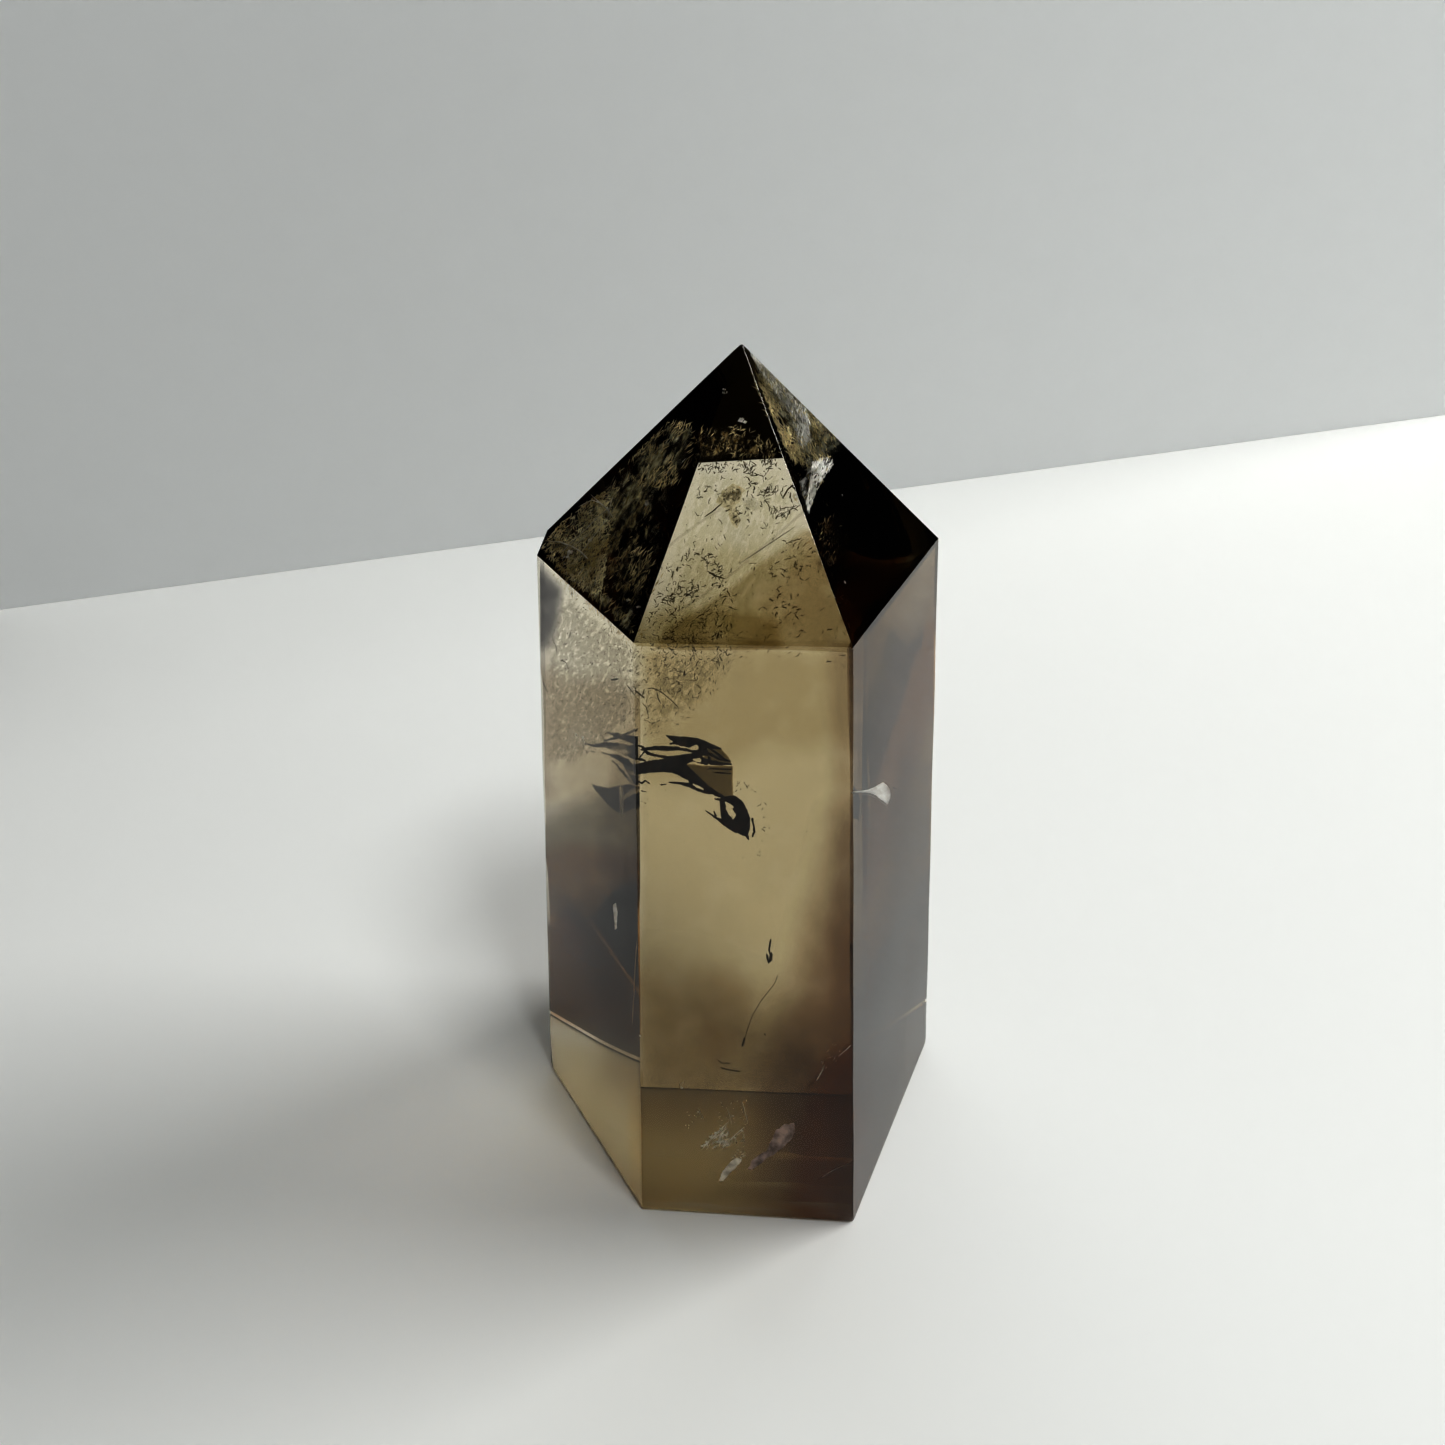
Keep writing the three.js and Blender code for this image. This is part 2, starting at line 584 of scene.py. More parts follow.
def mat_solid(name, dark, light, scale, rough, spec=0.3, trans=0.0):
    """A mineral grain's own colour, mottled between two tones."""
    m, nt, out = material(name)
    p = nt.nodes.new("ShaderNodeBsdfPrincipled")
    p.inputs["Roughness"].default_value = rough
    p.inputs["Specular IOR Level"].default_value = spec
    tc = nt.nodes.new("ShaderNodeTexCoord")
    tex = nt.nodes.new("ShaderNodeTexNoise")
    tex.inputs["Scale"].default_value = scale
    tex.inputs["Detail"].default_value = 3.0
    link(nt, tc.outputs["Object"], tex.inputs["Vector"])
    ramp = nt.nodes.new("ShaderNodeValToRGB")
    ramp.color_ramp.elements[0].position = 0.35
    ramp.color_ramp.elements[0].color = lift(dark)
    ramp.color_ramp.elements[1].position = 0.65
    ramp.color_ramp.elements[1].color = lift(light)
    link(nt, tex.outputs["Fac"], ramp.inputs["Fac"])
    link(nt, ramp.outputs["Color"], p.inputs["Base Color"])
    shader = p.outputs["BSDF"]
    if trans:
        tr = nt.nodes.new("ShaderNodeBsdfTranslucent")
        link(nt, ramp.outputs["Color"], tr.inputs["Color"])
        mix = nt.nodes.new("ShaderNodeMixShader")
        mix.inputs[0].default_value = trans
        link(nt, shader, mix.inputs[1])
        link(nt, tr.outputs["BSDF"], mix.inputs[2])
        shader = mix.outputs["Shader"]
    link(nt, shader, out.inputs["Surface"])
    return m


def mat_haze(name, dark, light, scale, low, high, most, tint=(1, 1, 1), stretch=(1, 1, 1), back=0.5):
    """A veil of tiny bubbles: see-through, denser in streaky patches, fading out at its rim. One red sheet behind the
    right tip is painted glow instead.
    """
    m, nt, out = material(name)
    grain = nt.nodes.new("ShaderNodeAttribute")
    grain.attribute_name = "grain"
    mp = nt.nodes.new("ShaderNodeMapping")
    mp.inputs["Scale"].default_value = stretch
    link(nt, grain.outputs["Vector"], mp.inputs["Vector"])
    tex = nt.nodes.new("ShaderNodeTexNoise")
    tex.inputs["Scale"].default_value = scale
    tex.inputs["Detail"].default_value = 6.0
    tex.inputs["Roughness"].default_value = 0.66
    link(nt, mp.outputs["Vector"], tex.inputs["Vector"])
    rng = nt.nodes.new("ShaderNodeMapRange")
    rng.interpolation_type = "SMOOTHSTEP"
    rng.inputs["From Min"].default_value = low
    rng.inputs["From Max"].default_value = high
    rng.inputs["To Min"].default_value = 0.0
    rng.inputs["To Max"].default_value = most
    link(nt, tex.outputs["Fac"], rng.inputs["Value"])
    fade = nt.nodes.new("ShaderNodeAttribute")
    fade.attribute_name = "fade"
    mul = nt.nodes.new("ShaderNodeMath")
    mul.operation = "MULTIPLY"
    link(nt, rng.outputs["Result"], mul.inputs[0])
    link(nt, fade.outputs["Fac"], mul.inputs[1])
    fine = nt.nodes.new("ShaderNodeTexNoise")
    fine.inputs["Scale"].default_value = scale * 2.3
    fine.inputs["Detail"].default_value = 3.0
    link(nt, mp.outputs["Vector"], fine.inputs["Vector"])
    ramp = nt.nodes.new("ShaderNodeValToRGB")
    ramp.color_ramp.elements[0].position = 0.38
    ramp.color_ramp.elements[0].color = lift(dark)
    ramp.color_ramp.elements[1].position = 0.62
    ramp.color_ramp.elements[1].color = lift(light)
    link(nt, fine.outputs["Fac"], ramp.inputs["Fac"])
    df = nt.nodes.new("ShaderNodeBsdfDiffuse")
    tr = nt.nodes.new("ShaderNodeBsdfTranslucent")
    link(nt, ramp.outputs["Color"], df.inputs["Color"])
    link(nt, ramp.outputs["Color"], tr.inputs["Color"])
    both = nt.nodes.new("ShaderNodeMixShader")
    both.inputs[0].default_value = back
    link(nt, df.outputs["BSDF"], both.inputs[1])
    link(nt, tr.outputs["BSDF"], both.inputs[2])
    clear = nt.nodes.new("ShaderNodeBsdfTransparent")
    clear.inputs["Color"].default_value = (*tint, 1)
    mix = nt.nodes.new("ShaderNodeMixShader")
    link(nt, mul.outputs[0], mix.inputs[0])
    link(nt, clear.outputs["BSDF"], mix.inputs[1])
    link(nt, both.outputs["Shader"], mix.inputs[2])
    link(nt, mix.outputs["Shader"], out.inputs["Surface"])
    return m


def mat_glint(name, dark, light, scale, rough):
    """The face of an air-filled crack, which mirrors like foil."""
    m, nt, out = material(name)
    p = nt.nodes.new("ShaderNodeBsdfPrincipled")
    p.inputs["Metallic"].default_value = 1.0
    p.inputs["Roughness"].default_value = rough
    grain = nt.nodes.new("ShaderNodeAttribute")
    grain.attribute_name = "grain"
    tex = nt.nodes.new("ShaderNodeTexNoise")
    tex.inputs["Scale"].default_value = scale
    tex.inputs["Detail"].default_value = 4.0
    link(nt, grain.outputs["Vector"], tex.inputs["Vector"])
    ramp = nt.nodes.new("ShaderNodeValToRGB")
    ramp.color_ramp.elements[0].position = 0.36
    ramp.color_ramp.elements[0].color = lift(dark)
    ramp.color_ramp.elements[1].position = 0.62
    ramp.color_ramp.elements[1].color = lift(light)
    link(nt, tex.outputs["Fac"], ramp.inputs["Fac"])
    link(nt, ramp.outputs["Color"], p.inputs["Base Color"])
    link(nt, p.outputs["BSDF"], out.inputs["Surface"])
    return m


def mat_smoke_and_painted_shade(name, tau, scale=3.0, uneven=0.25, stretch=(1, 1, 1)):
    """A see-through darkening tint, softly uneven and fading out at its rim: smokier quartz, dust and grain in some
    sheets, painted shade in others, and a painted reflection of the veil under the left face.
    """
    m, nt, out = material(name)
    grain = nt.nodes.new("ShaderNodeAttribute")
    grain.attribute_name = "grain"
    tex = nt.nodes.new("ShaderNodeTexNoise")
    tex.inputs["Scale"].default_value = scale
    tex.inputs["Detail"].default_value = 3.0 if scale < 10 else 8.0
    tex.inputs["Roughness"].default_value = 0.5 if scale < 10 else 0.72
    mp = nt.nodes.new("ShaderNodeMapping")
    mp.inputs["Scale"].default_value = stretch
    link(nt, grain.outputs["Vector"], mp.inputs["Vector"])
    link(nt, mp.outputs["Vector"], tex.inputs["Vector"])
    fade = nt.nodes.new("ShaderNodeAttribute")
    fade.attribute_name = "fade"
    soft = nt.nodes.new("ShaderNodeMapRange")
    soft.interpolation_type = "SMOOTHSTEP"
    link(nt, fade.outputs["Fac"], soft.inputs["Value"])
    rough = nt.nodes.new("ShaderNodeMapRange")
    rough.inputs["From Min"].default_value = 0.3
    rough.inputs["From Max"].default_value = 0.7
    rough.inputs["To Min"].default_value = 1.0 - uneven
    rough.inputs["To Max"].default_value = 1.0 + uneven
    link(nt, tex.outputs["Fac"], rough.inputs["Value"])
    mul = nt.nodes.new("ShaderNodeMath")
    mul.operation = "MULTIPLY"
    mul.use_clamp = True
    link(nt, soft.outputs["Result"], mul.inputs[0])
    link(nt, rough.outputs["Result"], mul.inputs[1])
    mix = nt.nodes.new("ShaderNodeMix")
    mix.data_type = "RGBA"
    link(nt, mul.outputs[0], mix.inputs[0])
    mix.inputs[6].default_value = (1, 1, 1, 1)
    mix.inputs[7].default_value = (*[math.exp(-0.5 * t) for t in tau], 1)
    clear = nt.nodes.new("ShaderNodeBsdfTransparent")
    link(nt, mix.outputs[2], clear.inputs["Color"])
    link(nt, clear.outputs["BSDF"], out.inputs["Surface"])
    return m


# ------------------------------------------------------------------ smokier layers, and painted shade
# name, face, picture outline, rim width, depth, extra optical depth (red, green, blue)
SMOKE_AND_SHADE = (
    ("smoke_body", "front", [(628, 1210), (628, 636), (920, 636), (920, 1210)], 20, 0.7, (0.22, 0.29, 0.48)),
    # the next three layers are partly smokier quartz and partly painted shade, for the floor in shadow close behind the
    # crystal that shows through the lower front
    ("smoke_and_shade_right_deep", "front", [(742, 1245), (742, 1060), (770, 965), (790, 890), (812, 800), (920, 740), (920, 1245)], 60, 22,
     (0.62, 0.75, 0.83)),
    ("smoke_and_shade_right", "front", [(690, 1245), (728, 1080), (772, 990), (796, 905), (850, 860), (920, 840), (920, 1245)], 80, 12,
     (0.34, 0.52, 0.68)),
    ("smoke_and_shade_foot", "front", [(590, 1160), (590, 945), (650, 930), (705, 935), (770, 960), (840, 985), (920, 960), (920, 1160)], 90, 17,
     (0.52, 0.66, 0.95)),
    ("smoke_middle", "front", [(680, 1010), (700, 960), (740, 955), (765, 990), (750, 1060), (715, 1085), (690, 1060)], 34, 9, (0.10, 0.16, 0.24)),
    ("smoke_right_foot", "front", [(770, 1245), (786, 1120), (806, 1060), (850, 1020), (920, 1010), (920, 1245)], 30, 6,
     (0.28, 0.86, 1.80)),
    ("smoke_bottom", "front", [(590, 1250), (590, 1080), (900, 1080), (900, 1250)], 30, 3, (0.0, 0.07, 0.30)),
    # partly smokier quartz and partly painted shade, darker down the right of the front face
    ("smoke_and_shade_right_edge", "front", [(822, 1245), (822, 640), (900, 640), (900, 1245)], 22, 2.2, (0.25, 0.32, 0.36)),
    ("smoke_top", "front", [(622, 622), (622, 790), (680, 815), (760, 775), (900, 755), (900, 622)], 44, 0.5, (0.18, 0.22, 0.32)),
    # the next six layers are painted shade on the left face: its darkening towards the foot, its dark rim along the
    # left edge and its dark top corner
    ("painted_shade_left", "front_left", [(515, 1012), (515, 850), (570, 832), (680, 846), (680, 1070)], 24, 0.35, (0.36, 0.84, 1.60)),
    ("painted_shade_left_middle", "front_left", [(510, 930), (510, 812), (600, 782), (640, 776), (680, 762), (680, 910), (612, 935)], 30, 0.45,
     (1.40, 1.54, 1.86)),
    ("painted_shade_left_lower", "front_left", [(590, 880), (598, 812), (612, 740), (630, 720), (664, 725), (664, 905), (608, 905)], 16, 0.25,
     (0.46, 0.54, 0.68)),
    ("painted_shade_left_upper", "front_left", [(500, 820), (500, 650), (680, 676), (680, 820)], 30, 0.55, (0.38, 0.48, 0.66)),
    ("painted_shade_left_rim", "front_left", [(520, 560), (556, 560), (566, 640), (564, 800), (560, 930), (520, 930)], 22, 0.65,
     (0.30, 0.34, 0.36)),
    ("painted_shade_left_corner", "front_left", [(515, 530), (546, 560), (572, 586), (568, 620), (554, 652), (515, 670)], 15, 0.30,
     (2.0, 2.0, 1.9)),
    ("smoke_left_foot", "front_left", [(500, 1010), (590, 1040), (680, 1080), (680, 1260), (500, 1260)], 20, 0.40, (0.10, 0.16, 0.32)),
    ("smoke_front_right", "front_right", [(846, 1250), (846, 600), (980, 500), (980, 1140)], 18, 0.6, (1.15, 1.52, 2.15)),
    ("smoke_front_right_edge", "front_right", [(842, 1120), (842, 600), (876, 600), (872, 1120)], 14, 0.4, (0.45, 0.52, 0.60)),
    ("smoke_window", "tip_front", [(630, 662), (655, 600), (672, 556), (690, 536), (840, 536), (880, 662)], 30, 0.55,
     (0.16, 0.19, 0.30)),
    # the next three layers are painted shadow: the floor in shadow behind the crystal, seen through the lower right of
    # the window below the shoulder
    ("painted_shade_shoulder", "tip_front", [(640, 662), (662, 626), (700, 606), (733, 584), (768, 554), (800, 524), (832, 522), (880, 662)],
     9, 0.42, (0.30, 0.37, 0.55)),
    ("painted_shade_shoulder_right", "tip_front", [(736, 662), (752, 596), (776, 560), (804, 526), (832, 522), (880, 662)], 26, 0.36,
     (0.16, 0.22, 0.32)),
    ("painted_shade_shoulder_band", "tip_front", [(600, 680), (614, 606), (690, 600), (760, 596), (792, 612), (806, 680)], 26, 0.30,
     (0.30, 0.37, 0.66)),
    # painted shade: the dark right of the right tip facet, where light runs a long way through the crystal
    ("painted_shade_tip_right", "tip_front_right", [(814, 440), (850, 430), (960, 520), (960, 560), (872, 662), (850, 612), (832, 560)], 14, 0.5,
     (1.6, 1.6, 1.6)),
)


def smoke_and_shade_layers():
    for i, (name, face, outline, rim, depth, tau) in enumerate(SMOKE_AND_SHADE):
        xs, ys = [q[0] for q in outline], [q[1] for q in outline]
        b = Bundle()
        b.add(*leaf(lambda u, v: polygon(u, v, outline) + 10 * (fbm(grid3(u * 0.012, v * 0.012, 3.7 * i), 2) - 0.5),
                    (min(xs) - 4, min(ys) - 4, max(xs) + 4, max(ys) + 4), 5.0 if rim > 12 else 2.0,
                    lambda u, v: at(face, u, v, depth + min(0.2, 0.2 * depth) * np.sin(u * 0.03) * np.cos(v * 0.02)), 0.04, rim))
        b.done(name, mat_smoke_and_painted_shade(name, tau, 3.0, 0.12 if face == "front" else 0.25), True)


# ------------------------------------------------------------------ the dark veil
VEIL_STROKES = [
    [(632, 770, 5), (650, 766.5, 6), (662, 765.5, 6.5), (674, 765, 8), (683, 770.5, 6.6), (692, 777, 5), (700, 783, 3.7),
     (708, 789, 3), (716, 794, 2.4), (723, 797.5, 1.6)],
    [(674, 763, 7), (684, 759.5, 5.2), (693, 757, 4), (699, 754, 3.6), (706, 751, 2.2)],
    [(667, 736, 0.8), (672, 738, 2.4), (678, 740.5, 4.2), (687, 742, 5.2), (697, 743.5, 5.4), (703, 745, 4.6), (710, 746, 2.6),
     (717, 748, 1.8), (721, 749, 0.7)],
    [(641, 750, 0.7), (645, 749, 1.6), (655, 748, 2.0), (668, 748.5, 2.4), (680, 748.5, 1.8), (690, 751, 1.3), (700, 751, 3.2)],
    [(644, 749, 1.0), (648, 753.5, 1.7), (658, 756, 1.2), (668, 757.5, 1.6), (676, 760, 4)],
    [(640, 757, 0.5), (645, 751, 0.9)],
    [(670, 744, 0.8), (676, 743, 1.5), (682, 744, 2.5)],
    [(698, 746, 4.4), (700, 753, 4.0), (706, 759, 4.2), (712, 762, 3.2), (718, 763.8, 1.9), (731, 764.2, 0.9)],
    [(705, 752, 1.4), (712, 755, 1.6), (718, 758.5, 1.4), (724, 760.5, 1.0), (730, 761, 0.8)],
    [(709, 748, 1.4), (716, 753, 1.2), (722, 757.5, 1.4), (726, 760.5, 1.2)],
    [(690, 758, 2.0), (698, 761.5, 1.6), (706, 763, 2.2)],
    [(708, 769, 0.5), (716, 769, 0.9), (731, 769.6, 0.7)],
    [(712, 772, 0.4), (720, 773, 0.7), (730, 773.6, 0.6)],
    [(669, 782.3, 0.7), (680, 783.3, 1.3), (689, 785, 2.2), (698, 790, 1.7), (706, 792.6, 1.6), (713, 793, 1.8)],
    [(689, 776, 2.0), (691, 783, 2.2)],
    [(661, 784.6, 0.8), (666, 784.2, 0.5)],
    [(715, 799.3, 0.7), (721, 800, 1.6), (727, 799.3, 3.0), (733, 800.2, 4.6), (738.5, 805, 5.2), (742, 812, 5.4), (744.5, 820, 5.6),
     (745, 828, 5.2), (746.5, 834.5, 2.6), (748.5, 839.6, 0.6)],
    [(722, 801, 2.6), (723, 810, 3.0), (725, 817, 4.0), (731, 823, 4.6), (738, 828, 5.0), (744, 833, 3.2)],
    [(736, 812, 4.6), (738, 822, 6.0)],
    [(705, 810.5, 0.35), (713, 816, 0.9), (720, 820.5, 1.8), (728, 826, 2.2), (736, 831.5, 1.8)],
    [(714, 812, 0.6), (716, 816, 1.0)],
    [(752, 819, 0.9), (753.6, 827, 0.8), (754.2, 832, 1.2), (752.4, 836.5, 0.8)],
    [(637, 745, 0.8), (643, 747, 1.0)],
    [(637, 759, 1.0), (641, 759.3, 1.5), (645, 760.6, 1.0)],
    [(638, 781, 0.8), (642, 783.3, 0.9), (645, 780.3, 0.8), (649, 783, 0.9)],
    [(642, 791, 0.7), (646, 791.5, 0.7)],
]
VEIL_HOLES = [
    [(680, 747, 0.8), (684, 747.4, 1.0)],
    [(691.5, 748.3, 1.8), (696, 747.5, 2.6)],
    [(693, 759.8, 0.8), (697, 760.3, 1.9), (700, 761.2, 1.3)],
    [(703, 756.2, 0.9), (706.5, 757.3, 1.5)],
    [(711, 758.8, 0.8), (714, 760.2, 0.9)],
    [(693, 784.6, 0.8), (697, 786.6, 1.4), (703, 789.3, 0.8)],
    [(727, 804, 0.6), (731, 810, 1.5), (734, 815.5, 2.1), (733, 818.6, 1.0)],
    [(750.4, 822, 0.5), (750.6, 829, 0.8), (749.4, 835, 1.5)],
]


def veil_depth(px, py):
    t = np.interp(px, (632, 637, 660, 690, 715, 735, 755), (0.8, 1.0, 4.6, 9.4, 13.0, 15.0, 17.0))
    return t + 0.5 * np.sin(np.asarray(px) * 0.11 + np.asarray(py) * 0.07)


def dark_veil():
    def field(u, v):
        f = np.full(u.shape, -1e9)
        for s in VEIL_STROKES:
            f = np.maximum(f, stroke(u, v, s))
        f = f + 1.5 * (fbm(grid3(u * 0.55, v * 0.9, 1.7), 3) - 0.5) - 0.05
        for s in VEIL_HOLES:
            f = np.minimum(f, -stroke(u, v, s) + 0.5 * (noise(grid3(u * 0.9, v * 0.9, 5.1)) - 0.5))
        return f

    b = Bundle()
    b.add(*leaf(field, (629, 730, 758, 843), 0.62, lambda u, v: at("front", u, v, veil_depth(u, v)), 0.07))
    # small crumbs that trail off below and right of it
    rng = np.random.RandomState(5)
    trail = [(728, 783), (738, 784), (746, 786), (752, 790), (757, 796), (762, 804), (766, 815), (764, 830), (761, 842), (757, 856)]
    for k in range(34):
        i = rng.randint(len(trail))
        u, v = np.array(trail[i]) + rng.normal(0, 2.4, 2)
        p = at("front", u, v, 26 + rng.rand() * 2)
        ax = screen_axis("front", u, v, 26, rng.uniform(30, 150))
        b.add(*shard(p, ax, rng.normal(size=3), rng.uniform(0.15, 0.5), 0.10, 0.08))
    return b.done("dark_veil", mat_solid("veil_black", (0.004, 0.003, 0.003), (0.030, 0.016, 0.010), 900, 0.5, 0.2))


def painted_veil_reflection_left():
    """Painted reflection: dark sheets just under the left face that copy how the veil and the flake below it show
    through that face.
    """
    reflected_roots = [
        [(650, 750, 8), (637, 752, 8), (628, 751, 6.4), (618, 747, 4.8), (606, 745, 3.4), (595, 745.5, 2.2), (584, 743.5, 0.7)],
        [(650, 740, 5), (634, 740, 4.4), (624, 737, 3.6), (614, 734.5, 2.6), (607, 732, 1.0)],
        [(650, 728, 2), (637, 729, 2.2), (628, 733, 1.8), (616, 738, 2.2), (604, 741, 0.9)],
        [(650, 786, 5), (637, 780, 5.4), (631, 770, 5.4), (626, 762, 4.4), (618, 757, 3.2), (608, 754, 1.6), (598, 752, 0.6)],
        [(610, 759, 0.5), (616, 764, 1.3), (621, 770, 2.0), (627, 777, 1.8), (632, 783, 1.0)],
        [(586, 750, 0.4), (592, 751, 1.0), (597, 753, 0.5)],
    ]

    def field(u, v):
        f = np.full(u.shape, -1e9)
        for s in reflected_roots:
            f = np.maximum(f, stroke(u, v, s))
        return f + 2.6 * (fbm(grid3(u * 0.35, v * 0.7, 6.4), 4) - 0.5) - 0.1

    # painted reflection: dark brown streaks copying the veil's roots as they show through the left face
    b = Bundle()
    b.add(*leaf(field, (580, 722, 652, 792), 0.7, lambda u, v: at("front_left", u, v, 0.30), 0.04, 1.6))
    b.done("veil_painted_reflection", mat_smoke_and_painted_shade("veil_painted_reflection_brown", (3.4, 3.6, 3.6), 9.0, 0.9, (0.6, 1, 1)), True)
    flake = [(590, 782.5), (595.5, 784.8), (608.5, 787.4), (620, 785), (631, 783.2), (650, 792), (650, 808), (634, 808), (629, 811),
             (620.5, 815), (612, 809.5), (604, 801), (596, 792)]
    slits = [[(620.6, 788, 0.9), (621.4, 800, 1.2), (622, 814, 0.9)], [(623, 798, 0.6), (628, 795, 1.6), (636, 790.5, 1.0)]]

    def inner(u, v):
        f = polygon(u, v, flake) + 0.8 * (fbm(grid3(u * 0.4, v * 0.4, 2.9), 3) - 0.5)
        for s in slits:
            f = np.minimum(f, -stroke(u, v, s))
        return f

    # painted reflection: a dark grey leaf with pale slits copying the flake below the veil as it shows through the left
    # face
    c = Bundle()
    c.add(*leaf(inner, (587, 779, 652, 818), 0.6, lambda u, v: at("front_left", u, v, 0.38), 0.04, 1.6))
    c.done("grey_leaf_painted_reflection", mat_smoke_and_painted_shade("grey_leaf_reflection_tint", (2.5, 2.6, 2.6), 14.0, 0.6), True)


def veil_film():
    outline = [(679, 766), (690, 764), (705, 766), (733, 766), (732.5, 780), (733, 796), (725, 798), (716, 794), (704, 786), (690, 775)]
    wing = [(699, 742), (712, 745), (722, 750), (729, 758), (732, 765), (718, 764), (706, 760), (700, 752)]

    def field(u, v):
        f = np.maximum(polygon(u, v, outline), polygon(u, v, wing))
        return f + 1.6 * (fbm(grid3(u * 0.5, v * 1.6, 3.3), 3) - 0.5)

    b = Bundle()
    b.add(*leaf(field, (676, 740, 737, 801), 0.8, lambda u, v: at("front", u, v, veil_depth(u, v) + 0.35), 0.05, 1.5))
    return b.done("veil_film", mat_haze("veil_brown_film", (0.05, 0.035, 0.012), (0.16, 0.12, 0.05), 700, 0.30, 0.62, 0.62,
                                        (0.80, 0.74, 0.60), (0.6, 0.6, 2.2)))


def pale_shell():
    outline = [(851, 791.6), (860, 790.8), (868, 789.6), (874, 787.2), (880, 783.6), (883.4, 782.2), (886.6, 784.6), (889.6, 788.4),
               (890.8, 793), (890.6, 798), (889, 802), (887.4, 804.8), (884, 801.8), (880, 799), (876, 795.4), (870, 793.2),
               (860, 792.6), (851, 792.8)]

    def field(u, v):
        return polygon(u, v, outline) + 0.6 * (fbm(grid3(u * 0.6, v * 0.6, 9.1), 3) - 0.5)

    b = Bundle()
    b.add(*leaf(field, (848, 779, 894, 808), 0.5,
                lambda u, v: at("front_right", u, v, 0.24 + 0.002 * (u - 850) + 0.02 * np.sin(v * 0.5)), 0.03, 2.0))
    b.done("pale_shell", mat_glint("pale_shell_face", (0.62, 0.58, 0.52), (0.99, 0.98, 0.94), 14.0, 0.30))
    c = Bundle()
    # painted shadow: the first thread is the dark line under the pale shell; the other three are small dark specks
    for depth, pts, r in ((0.2, [(851, 793.4), (860, 793.6), (868, 794.6), (875, 797.6), (881, 801.2), (886, 805)], 0.05),
                          (1.0, [(893.5, 787.5), (896, 788.4)], 0.07), (1.2, [(877, 1008), (878, 1012)], 0.07),
                          (1.2, [(858, 941), (860, 945)], 0.08)):
        p = [at("front_right", u, v, depth) for u, v in pts]
        p = ends(p, 0.5, r)
        if len(p) > 2:
            c.add(*strand(p, [r] * len(p), 5))
    return c.done("shell_shadow_line_and_specks", mat_solid("shell_shadow_and_specks_dark", (0.05, 0.04, 0.025), (0.12, 0.09, 0.06), 900, 0.5, 0.2))


